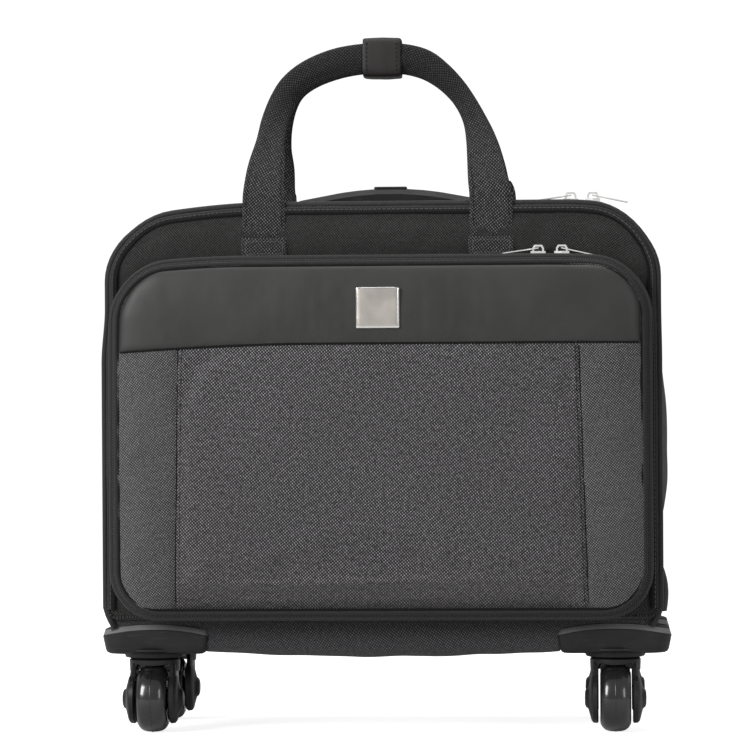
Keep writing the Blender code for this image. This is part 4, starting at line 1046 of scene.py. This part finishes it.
def build_floor(mats):
    """Cloth floor that sags between the wheel housings."""
    housing_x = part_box("wheel_housing_front_right")[0].x
    half = TRAY_HIGH.x - 0.0004
    front = TRAY_LOW.y
    rear = TRAY_HIGH.y
    low = TRAY_LOW.z
    high = TRAY_HIGH.z
    columns = 120
    points = []
    weave = []
    profile = [(front + 0.0002, high + 0.0012), (front, high - 0.006), (front - 0.0006, high - 0.014),
               (front, low + 0.006), (front + 0.003, low + 0.001)]
    steps = 24
    profile += [(front + 0.006 + (rear - front - 0.012) * i / steps, low) for i in range(steps + 1)]
    profile += [(rear - 0.003, low + 0.001), (rear, low + 0.006), (rear + 0.0004, high - 0.014),
                (rear, high)]
    run = lengths(profile)
    for i, (y, z) in enumerate(profile):
        share = smoothstep(high - z, 0.0, 0.020)
        for c in range(columns + 1):
            x = half * (2 * c / columns - 1)
            sag = FLOOR_SAG * math.cos(0.5 * math.pi * min(1.0, abs(x) / housing_x)) * share
            crease = 0.0012 * wobble(x, y, z, 34.0) * share
            height = z + 0.0012 - sag + crease
            if abs(x) > housing_x + 0.003:
                height = max(height, low + 0.008)
            points.append((x, y - 0.0008 * wobble(x, z, 2.0, 24.0), height))
            weave.append((x, run[i]))
    floor = build("floor_cloth_sling", points, strip_faces(len(profile), columns + 1, flip=True),
                  [mats["floor_cloth"]], weave)
    thicken(floor, FLOOR_CLOTH)
    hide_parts("bottom_tray")
    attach(floor, "case")
    mid_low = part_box("wheel_housing_front_right")[1].y + 0.0004
    mid_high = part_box("wheel_housing_rear_right")[0].y - 0.0004
    for label, sign in (("left", -1), ("right", 1)):
        points = []
        weave = []
        for z in (high + 0.0012, high - 0.004, high - 0.014):
            for c in range(49):
                y = front + (rear - front) * c / 48
                points.append((sign * (BODY.half - FACE_INSET + 0.0005 * wobble(z, y, 1.0, 40.0)), y, z))
                weave.append((y, z))
        strip = build("upper_skirt_cloth_" + label, points, strip_faces(3, 49, flip=sign > 0),
                      [mats["floor_cloth"]], weave)
        thicken(strip, 0.0012)
        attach(strip, "case")
        points = []
        weave = []
        side_profile = [(housing_x - 0.004, low + 0.0015), (TRAY_HIGH.x - 0.006, low + 0.0015),
                        (TRAY_HIGH.x - 0.001, low + 0.006), (TRAY_HIGH.x, high - 0.012),
                        (TRAY_HIGH.x - 0.0006, high)]
        run = lengths(side_profile)
        for i, (x, z) in enumerate(side_profile):
            for c in range(25):
                y = mid_low + (mid_high - mid_low) * c / 24
                points.append((sign * (x + 0.0006 * wobble(x, y, z, 40.0)), y, z))
                weave.append((y, run[i]))
        skirt = build("side_skirt_cloth_" + label, points, strip_faces(len(side_profile), 25, flip=sign < 0),
                      [mats["floor_cloth"]], weave)
        thicken(skirt, FLOOR_CLOTH)
        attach(skirt, "case")


# ---------------------------------------------------------------- carry handles
def catmull(points, steps):
    """Smooth curve through points, each segment cut into equal steps."""
    ends = [points[0]] + list(points) + [points[-1]]
    curve = []
    for a, b, c, d in zip(ends, ends[1:], ends[2:], ends[3:]):
        for i in range(steps):
            t = i / steps
            curve.append(tuple(0.5 * (2 * q + (r - p) * t + (2 * p - 5 * q + 4 * r - s) * t * t
                                      + (3 * q - p - 3 * r + s) * t ** 3)
                               for p, q, r, s in zip(a, b, c, d)))
    curve.append(tuple(points[-1]))
    return curve


def build_strap(name, node, body, sign, mats):
    """Webbing strap: flat at its sewn feet, folded lengthwise into a thick grip along its top."""
    low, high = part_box(node)
    grip_y = (high.y - 0.0055) if sign < 0 else (low.y + 0.0055)
    foot_y = (low.y + 0.0016) if sign < 0 else (high.y - 0.0016)
    knee = max(low.z + 0.012, STRAP_KNEE_Z)
    left = centre_of(*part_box("front_strap_patch_left"))[0]
    right = centre_of(*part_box("front_strap_patch_right"))[0]
    line = [(left, low.z, STRAP_FOOT_WIDTH), (left, knee, 0.0345)] + STRAP_LINE
    line += [(right, knee, 0.0345), (right, low.z, STRAP_FOOT_WIDTH)]
    stations = catmull(line, 6)
    run = lengths([(x, z) for x, z, _ in stations])
    points = []
    weave = []
    sides = 32

    def lean(z):
        return foot_y + (grip_y - foot_y) * smoothstep(z, *STRAP_LEAN_Z)

    for i, (x, z, width) in enumerate(stations):
        before = stations[max(i - 1, 0)]
        after = stations[min(i + 1, len(stations) - 1)]
        along = Vector((after[0] - before[0], after[1] - before[1])).normalized()
        across = Vector((-along.y, along.x))
        y = lean(z)
        fold = smoothstep(z, *STRAP_FOLD_Z)
        half_w = width / 2
        half_t = 0.0013 + 0.0044 * fold
        power = 0.30 + 0.42 * fold
        lap = half_w * (0.55 - 1.05 * smoothstep(z, 0.4600, 0.5300))
        girth = []
        for k in range(sides):
            angle = 2 * math.pi * k / sides
            c = math.cos(angle)
            s = math.sin(angle)
            u = math.copysign(abs(c) ** power, c) * half_w
            v = math.copysign(abs(s) ** (1.0 - 0.25 * fold), s) * half_t
            step = 0.0021 * fold * smoothstep(u - lap, -0.0009, 0.0009)
            crease = 0.0018 * fold * math.exp(-((u - lap) / 0.0012) ** 2)
            v += math.copysign(step - crease, v) * smoothstep(abs(s), 0.05, 0.50)
            girth.append((u, v))
            ripple = 0.00035 * wobble(x, u * 3, z, 60.0) + 0.0006 * fold * wobble(x, u, z, 24.0)
            points.append((x + across.x * u, y + v + ripple, z + across.y * u))
        around = lengths(girth + girth[:1])
        weave += [(min(spot, around[-1] - spot), run[i]) for spot in around[:-1]]
    faces = strip_faces(len(stations), sides, wrap=True) + end_caps(len(stations), sides, turned=False)
    strap = build(name, points, faces, [mats["webbing"]], weave)
    fix_normals(strap)
    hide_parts(node)
    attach(strap, body)
    for foot, side in (("left", -1), ("right", 1)):
        sewn = [(x, z, width) for x, z, width in stations if 0.4050 < z < 0.4700 and (x < 0) == (side < 0)]
        for label, turn in (("inner", -1), ("outer", 1)):
            path = [(x + side * turn * (width / 2 - 0.0030), lean(z) + sign * 0.0016, z)
                    for x, z, width in sewn]
            row = stitches("%s_edge_%s_%s" % (name, foot, label), path, (0, sign, 0), mats["dark_thread"],
                           0.0036, 0.0026)
            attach(row, body)


def build_patches(mats):
    """Sewn base patches with a box of stitches."""
    for side in ("left", "right"):
        low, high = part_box("front_strap_patch_" + side)
        centre_x, _, centre_z = centre_of(low, high)
        half_w = (high.x - low.x) / 2
        half_h = (high.z - low.z) / 2
        points = []
        weave = []
        rings = ((-0.004, low.y - 0.0006), (-0.0008, low.y - 0.0006), (0.0, low.y + 0.0006), (0.0, high.y))
        shape = Outline(half_w, -half_h, half_h, 0.0022, 0.0022)
        for grow, y in rings:
            for x, z in shape.grown(grow).loop(4, 8, 8):
                points.append((centre_x + x, y, centre_z + z))
                weave.append((x, z))
        count = len(points) // len(rings)
        faces = strip_faces(len(rings), count, wrap=True) + end_caps(len(rings), count)
        patch = build("strap_patch_cloth_" + side, points, faces, [mats["webbing"]], weave)
        fix_normals(patch)
        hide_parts("front_strap_patch_" + side)
        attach(patch, "lid")
        box_w = half_w - 0.0035
        box_h = half_h - 0.0035
        square = [(-box_w, -box_h), (box_w, -box_h), (box_w, box_h), (-box_w, box_h), (-box_w, -box_h)]
        line = [(centre_x + x, low.y - 0.0006, centre_z + z) for x, z in square]
        seam = stitches("strap_patch_stitches_" + side, line, (0, -1, 0), mats["thread"], 0.0030, 0.0022)
        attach(seam, "lid")


def build_cuff(name, node, body, sign, mats):
    """Half of the leather cuff: soft-edged wrap that bulges over the strap, with a stitched edge."""
    low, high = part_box(node)
    inner = high.y if sign < 0 else low.y
    outer = low.y if sign < 0 else high.y
    wall = 0.0022
    half_x = (high.x - low.x) / 2 - 0.0010
    centre_z = (low.z + high.z) / 2
    half_z = (high.z - low.z) / 2
    reach = abs(outer - inner)
    sections = 25
    ring_points = 22

    def arc(depth, height):
        """Half of a section, from its top over the front to its bottom, as (y, z)."""
        line = []
        for k in range(ring_points):
            angle = math.pi * k / (ring_points - 1)
            c = math.cos(angle)
            out = abs(math.sin(angle)) ** 0.42 * depth
            line.append((inner + sign * out, centre_z + math.copysign(abs(c) ** 0.42, c) * height))
        return line

    points = []
    for i in range(sections):
        t = 2 * i / (sections - 1) - 1
        x = half_x * t
        full = 0.0007 * (1 - t * t) + 0.0004 * wobble(x, 1.0, sign, 90.0)
        hem = 0.0006 * smoothstep(abs(t), 0.93, 1.0)
        section = arc(reach + full - hem, half_z + full - hem) + arc(reach - wall, half_z - wall)[::-1]
        points += [(x, y, z) for y, z in section]
    count = 2 * ring_points
    faces = strip_faces(sections, count, wrap=True)
    faces += [tuple(k + e * (sections - 1) * count for k in (j, j + 1, count - 2 - j, count - 1 - j))
              for e in (0, 1) for j in range(ring_points - 1)]
    cuff = crisp(build(name, points, faces, [mats["cuff"]]), 50)
    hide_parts(node)
    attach(cuff, body)
    for label, x in (("left", -half_x + 0.0032), ("right", half_x - 0.0032)):
        line = [(x, outer + sign * 0.0001, centre_z + half_z * 0.78 * (2 * i / 12 - 1)) for i in range(13)]
        row = stitches(name + "_stitches_" + label, line, (0, sign, 0), mats["dark_thread"], 0.0036, 0.0022,
                       0.0004)
        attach(row, body)


# ---------------------------------------------------------------- casters
def housing_plan(low, high):
    """Plan of a wheel housing, round at the case's corner, as (x, y) anticlockwise from above."""
    outward = 1 if low.x + high.x > 0 else -1
    forward = -1 if low.y + high.y < 0 else 1
    half_x = (high.x - low.x) / 2
    half_y = (high.y - low.y) / 2
    centre_x, centre_y, _ = centre_of(low, high)
    points = []
    for turn, sx, sy in ((0, 1, 1), (1, -1, 1), (2, -1, -1), (3, 1, -1)):
        radius = HOUSING_CORNER if sx == outward and sy == forward else HOUSING_EDGE
        for i in range(9):
            angle = math.radians(90 * turn + 90 * i / 8)
            points.append((centre_x + sx * (half_x - radius) + radius * math.cos(angle),
                           centre_y + sy * (half_y - radius) + radius * math.sin(angle)))
    dense = []
    for a, b in zip(points, points[1:] + points[:1]):
        count = max(1, int(math.dist(a, b) / 0.004))
        for i in range(count):
            dense.append((a[0] + (b[0] - a[0]) * i / count, a[1] + (b[1] - a[1]) * i / count))
    return dense


def build_housing(corner, mats):
    """Wheel housing: soft lower edge, slightly full sides, and a bevelled lip under its arched top."""
    low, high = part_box("wheel_housing_" + corner)
    if "left" in corner:
        low.x -= HOUSING_REACH["left"]
    else:
        high.x += HOUSING_REACH["right"]
    centre_x, centre_y, _ = centre_of(low, high)
    half_x = (high.x - low.x) / 2
    half_y = (high.y - low.y) / 2
    boss_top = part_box("caster_fork_" + corner)[1].z + 0.0040

    def crest(x):
        return high.z - 0.0052 * min(1.0, abs((x - centre_x) / half_x)) ** 2.2

    base = housing_plan(low, high)
    # Rings from the underside up, as (grow, height below the crest or None, own height or None).
    rings = ((-0.0075, None, boss_top), (-0.0048, None, boss_top + 0.0003),
             (-0.0028, None, boss_top + 0.0013), (-0.0017, None, boss_top + 0.0032),
             (-0.0006, None, boss_top + 0.0085), (0.0004, -0.0062, None), (0.0005, -0.0052, None),
             (0.0002, -0.0046, None), (-0.0034, -0.0007, None), (-0.0044, 0.0, None))
    points = []
    for grow, down, level in rings:
        lip = down is not None and grow < 0
        scale_x = 1 + (grow * 0.28 if lip else grow) / half_x
        scale_y = 1 + grow / half_y
        for x, y in base:
            x = centre_x + (x - centre_x) * scale_x
            y = centre_y + (y - centre_y) * scale_y
            points.append((x, y, level if down is None else crest(x) + down))
    count = len(base)
    faces = strip_faces(len(rings), count, wrap=True) + end_caps(len(rings), count)
    # The lip's faces take the paler copy: a painted highlight of the light from above.
    on_lip = 7 * count
    chosen = [1 if on_lip <= k < on_lip + count else 0 for k in range(len(faces))]
    shell = build("housing_shell_" + corner, points, faces, [mats["housing"], mats["painted_lip_highlight"]], None,
                  chosen)
    crisp(shell, 32)
    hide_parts("wheel_housing_" + corner)
    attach(shell, "case")
    centre = centre_of(*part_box("swivel_stem_" + corner))[:2] + (0.0,)
    boss = turned("housing_boss_" + corner,
                  [(0.0082, low.z), (0.0214, low.z), (0.0236, low.z + 0.0006), (0.0244, low.z + 0.0022),
                   (0.0250, low.z + 0.0036), (0.0262, low.z + 0.0050), (0.0284, low.z + 0.0062),
                   (0.0284, low.z + 0.0075), (0.0082, low.z + 0.0080)],
                  centre, "Z", mats["housing"], 64, closed=True)
    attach(boss, "case")


def build_fork(corner, mats):
    """Swivel fork: neck under the boss, two arms that run into round cheeks with domed hubs."""
    wheel_low, wheel_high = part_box("wheel_" + corner)
    fork_low, fork_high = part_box("caster_fork_" + corner)
    axle = centre_of(wheel_low, wheel_high)
    swivel = centre_of(*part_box("swivel_stem_" + corner))
    top = fork_high.z
    tread = (wheel_high.z - wheel_low.z) / 2 + WHEEL_GAP
    inner = (wheel_high.x - wheel_low.x) / 2 + WHEEL_GAP

    def underside(x, y):
        """Lowest level of the neck here: it drops in front of the wheel and arches over its tread."""
        level = top - 0.0105
        off = abs(y - axle[1])
        if abs(x - axle[0]) < inner and off < tread:
            level = max(level, axle[2] + math.sqrt(tread ** 2 - off ** 2))
        return min(level, top - 0.0030)

    points = []
    # The neck's top and rim by their height under the top, then rings that follow the underside.
    rings = [(0.0080, -0.0004), (0.0196, -0.0004), (NECK_RADIUS, -0.0014), (NECK_RADIUS, -0.0045)]
    rings += [(radius, -1.0) for radius in (0.0203, 0.0185, 0.0160, 0.0135, 0.0110, 0.0080)]
    segments = 72
    for radius, down in rings:
        for k in range(segments):
            angle = 2 * math.pi * k / segments
            x = swivel[0] + radius * math.cos(angle)
            y = swivel[1] + radius * math.sin(angle)
            points.append((x, y, max(top + down, underside(x, y))))
    faces = strip_faces(len(rings), segments, wrap=True) + ring_close(len(rings), segments)
    neck = crisp(build("fork_neck_" + corner, points, faces, [mats["fork"]]), 40)
    pieces = [neck]
    outer = (fork_high.x - fork_low.x) / 2
    radius = CHEEK_RADIUS
    for label, sign in (("left", -1), ("right", 1)):
        profile = [(0.0040, inner), (radius - 0.0010, inner), (radius, inner + 0.0010),
                   (radius - 0.0004, inner + 0.0042), (radius - 0.0022, inner + 0.0056),
                   (radius - 0.0060, inner + 0.0066), (0.0085, outer - 0.0028), (0.0072, outer - 0.0010),
                   (0.0050, outer - 0.0002), (0.0022, outer - 0.0001), (0.0004, outer)]
        cheek = turned("fork_cheek_%s_%s" % (corner, label), [(r, sign * a) for r, a in profile], axle, "X",
                       mats["fork"], 64)
        pieces.append(cheek)
        points = []
        levels = ((top - 0.0040, 0.0135, 0.0), (top - 0.0110, 0.0150, 0.25), (top - 0.0180, 0.0168, 0.6),
                  (axle[2] + 0.0080, 0.0172, 1.0))
        for z, half_y, blend in levels:
            middle_y = swivel[1] + (axle[1] - swivel[1]) * blend
            near = inner + 0.0002
            far = inner + 0.0054 - 0.0012 * (1 - blend)
            section = ((near, -half_y), (far - 0.0016, -half_y), (far, -half_y + 0.0030),
                       (far, half_y - 0.0030), (far - 0.0016, half_y), (near, half_y))
            for x, y in section:
                points.append((axle[0] + sign * x, middle_y + y, z))
        faces = strip_faces(len(levels), 6, wrap=True) + end_caps(len(levels), 6, turned=False)
        arm = build("fork_arm_%s_%s" % (corner, label), points, faces, [mats["fork"]])
        pieces.append(crisp(arm, 35))
    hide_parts("caster_fork_" + corner, "axle_" + corner)
    ride_all(pieces, "caster_" + corner)


def build_casters(mats):
    for corner in CORNERS:
        low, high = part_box("wheel_" + corner)
        centre = centre_of(low, high)
        radius = (high.z - low.z) / 2
        half = (high.x - low.x) / 2
        profile = [(0.0036, -half + 0.0014), (0.0070, -half + 0.0014), (0.0082, -half + 0.0004),
                   (0.0100, -half + 0.0014), (0.0165, -half + 0.0014), (0.0180, -half + 0.0002),
                   (radius - 0.0078, -half)]
        for i in range(21):
            t = 2 * i / 20 - 1
            profile.append((radius - 0.0016 * t * t - 0.0044 * abs(t) ** 5, half * 0.985 * t))
        profile += [(r, -along) for r, along in reversed(profile[:7])]
        wheel = turned("caster_wheel_" + corner, profile, centre, "X", mats["wheel"], 80, closed=True)
        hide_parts("wheel_" + corner)
        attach(wheel, "wheel_" + corner)
        tread = radius + 0.0001
        line = [(centre[0], centre[1] + tread * math.cos(2 * math.pi * i / 80),
                 centre[2] + tread * math.sin(2 * math.pi * i / 80)) for i in range(80)]
        mould = tube("wheel_mould_line_" + corner, line, 0.0004, mats["wheel"], sides=6, closed=True)
        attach(mould, "wheel_" + corner)
        build_housing(corner, mats)
        build_fork(corner, mats)
        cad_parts["swivel_stem_" + corner].data.materials[0] = mats["steel"].material


def repaint(mats):
    """Finishes of the CAD pieces that show as they are."""
    finishes = {"trolley_grip": "grip", "release_button": "housing", "trolley_bezel": "housing",
                "trolley_foot_bar": "housing", "base_board": "board", "back_board": "board"}
    for side in ("left", "right"):
        for stage in ("outer", "middle", "inner"):
            finishes["trolley_" + stage + "_tube_" + side] = "tube"
    for name in ZIPS:
        finishes["slider_" + name] = "chrome"
        finishes["pull_" + name] = "chrome"
    for node, key in finishes.items():
        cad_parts[node].data.materials[0] = mats[key].material


def build_guard(side, mats):
    """Moulded skid plate over the lower rear corner: a full, rounded blister that meets the housing."""
    low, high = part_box("rear_guard_" + side)
    sign = -1 if side == "left" else 1
    inner = BODY.half - 0.0015
    rows = 28
    columns = 30
    points = []
    for r in range(rows + 1):
        t = r / rows
        z = low.z + (high.z - low.z) * t
        full = GUARD_FULL * (1 - t ** 2.4) * (0.80 + 0.20 * math.sin(math.pi * t)) + 0.0010
        for c in range(columns + 1):
            u = 2 * c / columns - 1
            y = (low.y + high.y) / 2 + u * (high.y - low.y) / 2 * (1 - 0.16 * t ** 2)
            rise = full * (1 - abs(u) ** 4) * (1 if t < 0.97 else 0.4)
            points.append((sign * (inner + rise), y, z))
    shell = build("guard_shell_" + side, points, strip_faces(rows + 1, columns + 1, flip=sign < 0),
                  [mats["housing"]])
    thicken(shell, 0.0024)
    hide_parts("rear_guard_" + side)
    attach(shell, "case")


# ---------------------------------------------------------------- inside
def build_divider(mats):
    """Quilted laptop divider: two stuffed faces joined by a bound edge."""
    low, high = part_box("laptop_divider")
    pad = Outline(high.x, low.z, high.z, 0.025, 0.006)
    centre_y = (low.y + high.y) / 2
    half = (high.y - low.y) / 2

    def fullness(x, z):
        d = max(pad.inside(x, z), 0.0)
        across = abs((x + z) / QUILT - round((x + z) / QUILT)) * QUILT
        along = abs((x - z) / QUILT - round((x - z) / QUILT)) * QUILT
        seam = 1 - 0.55 * math.exp(-min(across, along) / 0.0028)
        return half * (0.30 + 0.70 * (1 - math.exp(-d / 0.006)) * seam) + 0.0003 * wobble(x, 1.0, z, 40.0)

    pieces = []
    for label, facing in (("front", -1), ("rear", 1)):
        face = face_panel("divider_%s_face" % label, pad, lambda x, z: centre_y + facing * fullness(x, z),
                          [mats["lining"]], columns=120, arc_steps=6, straight_steps=70, thickness=0.0008,
                          facing=facing)
        pieces.append(face)
    edge = tube("divider_bound_edge", ring_line(pad, centre_y), 0.0021, mats["tape"], sides=10, closed=True)
    pieces.append(edge)
    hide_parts("laptop_divider")
    ride_all(pieces, "case")


# ---------------------------------------------------------------- stage
def area_light(name, place, target, size, power):
    light = bpy.data.lights.new(name, "AREA")
    light.shape = "RECTANGLE"
    light.size, light.size_y = size
    light.energy = power
    obj = bpy.data.objects.new(name, light)
    obj.location = place
    obj.rotation_euler = (Vector(target) - Vector(place)).to_track_quat("-Z", "Y").to_euler()
    bpy.context.scene.collection.objects.link(obj)


def seen_only(tree, lighting, looks, output):
    """One shader of the stage lights the object; the other is what the camera sees of the stage."""
    path = tree.nodes.new("ShaderNodeLightPath")
    mix = tree.nodes.new("ShaderNodeMixShader")
    tree.links.new(path.outputs["Is Camera Ray"], mix.inputs["Fac"])
    tree.links.new(lighting, mix.inputs[1])
    tree.links.new(looks, mix.inputs[2])
    tree.links.new(mix.outputs["Shader"], output)


def build_stage():
    floor = bpy.data.meshes.new("studio_floor")
    around = ((-FLOOR_REACH, -FLOOR_REACH), (FLOOR_REACH, -FLOOR_REACH), (FLOOR_REACH, FLOOR_REACH),
              (-FLOOR_REACH, FLOOR_REACH))
    floor.from_pydata([(x, y, -0.0002) for x, y in around], [], [(0, 1, 2, 3)])
    paint = bpy.data.materials.new("studio_white")
    paint.use_nodes = True
    tree = paint.node_tree
    shader = tree.nodes["Principled BSDF"]
    shader.inputs["Base Color"].default_value = (FLOOR_GREY, FLOOR_GREY, FLOOR_GREY, 1)
    shader.inputs["Roughness"].default_value = 0.8
    glow = tree.nodes.new("ShaderNodeEmission")
    glow.inputs["Color"].default_value = (1.0, 1.0, 1.0, 1)
    glow.inputs["Strength"].default_value = FLOOR_GLOW
    both = tree.nodes.new("ShaderNodeAddShader")
    tree.links.new(shader.outputs["BSDF"], both.inputs[0])
    tree.links.new(glow.outputs["Emission"], both.inputs[1])
    seen_only(tree, shader.outputs["BSDF"], both.outputs["Shader"],
              tree.nodes["Material Output"].inputs["Surface"])
    floor.materials.append(paint)
    ground = bpy.data.objects.new("studio_floor", floor)
    bpy.context.scene.collection.objects.link(ground)
    world = bpy.data.worlds.new("studio_world")
    world.use_nodes = True
    tree = world.node_tree
    seen = tree.nodes["Background"]
    lit = tree.nodes.new("ShaderNodeBackground")
    for node, strength in ((seen, SKY_GLOW), (lit, WORLD_LIGHT)):
        node.inputs["Color"].default_value = (1.0, 1.0, 1.0, 1)
        node.inputs["Strength"].default_value = strength
    seen_only(tree, lit.outputs["Background"], seen.outputs["Background"],
              tree.nodes["World Output"].inputs["Surface"])
    bpy.context.scene.world = world
    target = (0, 0, 0.28)
    area_light("key_left", (-1.9, -2.0, 1.5), target, (1.2, 1.6), KEY_POWER)
    area_light("fill_right", (1.9, -2.1, 1.0), target, (0.9, 1.4), FILL_POWER)
    area_light("top_soft", (0.0, 0.1, 2.4), target, (1.8, 1.4), TOP_POWER)
    bpy.context.scene.view_settings.view_transform = "Standard"


def build_camera():
    camera = bpy.data.cameras.new("camera")
    obj = bpy.data.objects.new("camera", camera)
    angle = math.radians(CAMERA_AZIMUTH)
    focus_y = PANEL_LOW.y
    obj.location = (CAMERA_DISTANCE * math.sin(angle) + CAMERA_OFFSET,
                    focus_y - CAMERA_DISTANCE * math.cos(angle), CAMERA_HEIGHT)
    turn = Matrix.Rotation(angle, 3, "Z") @ Matrix.Rotation(math.radians(90), 3, "X")
    turn = turn @ Matrix.Rotation(math.radians(-CAMERA_ROLL), 3, "Z")
    obj.rotation_euler = turn.to_euler()
    camera.sensor_width = 36.0
    camera.lens = camera.sensor_width * CAMERA_DISTANCE / FRAME_WIDTH
    camera.shift_y = CAMERA_SHIFT
    bpy.context.scene.collection.objects.link(obj)
    bpy.context.scene.camera = obj


def main():
    mats = palette()
    build_camera()
    build_stage()
    repaint(mats)
    build_front_half(mats)
    build_pocket(mats)
    build_badge(mats)
    build_rear_half(mats)
    build_main_zip(mats)
    build_floor(mats)
    build_divider(mats)
    for side in ("left", "right"):
        build_guard(side, mats)
    build_strap("front_strap_webbing", "front_strap", "front_handle", -1, mats)
    build_strap("rear_strap_webbing", "rear_strap", "rear_handle", 1, mats)
    build_patches(mats)
    build_cuff("cuff_front_leather", "cuff_front_half", "front_handle", -1, mats)
    build_cuff("cuff_rear_leather", "cuff_rear_half", "rear_handle", 1, mats)
    build_casters(mats)


main()
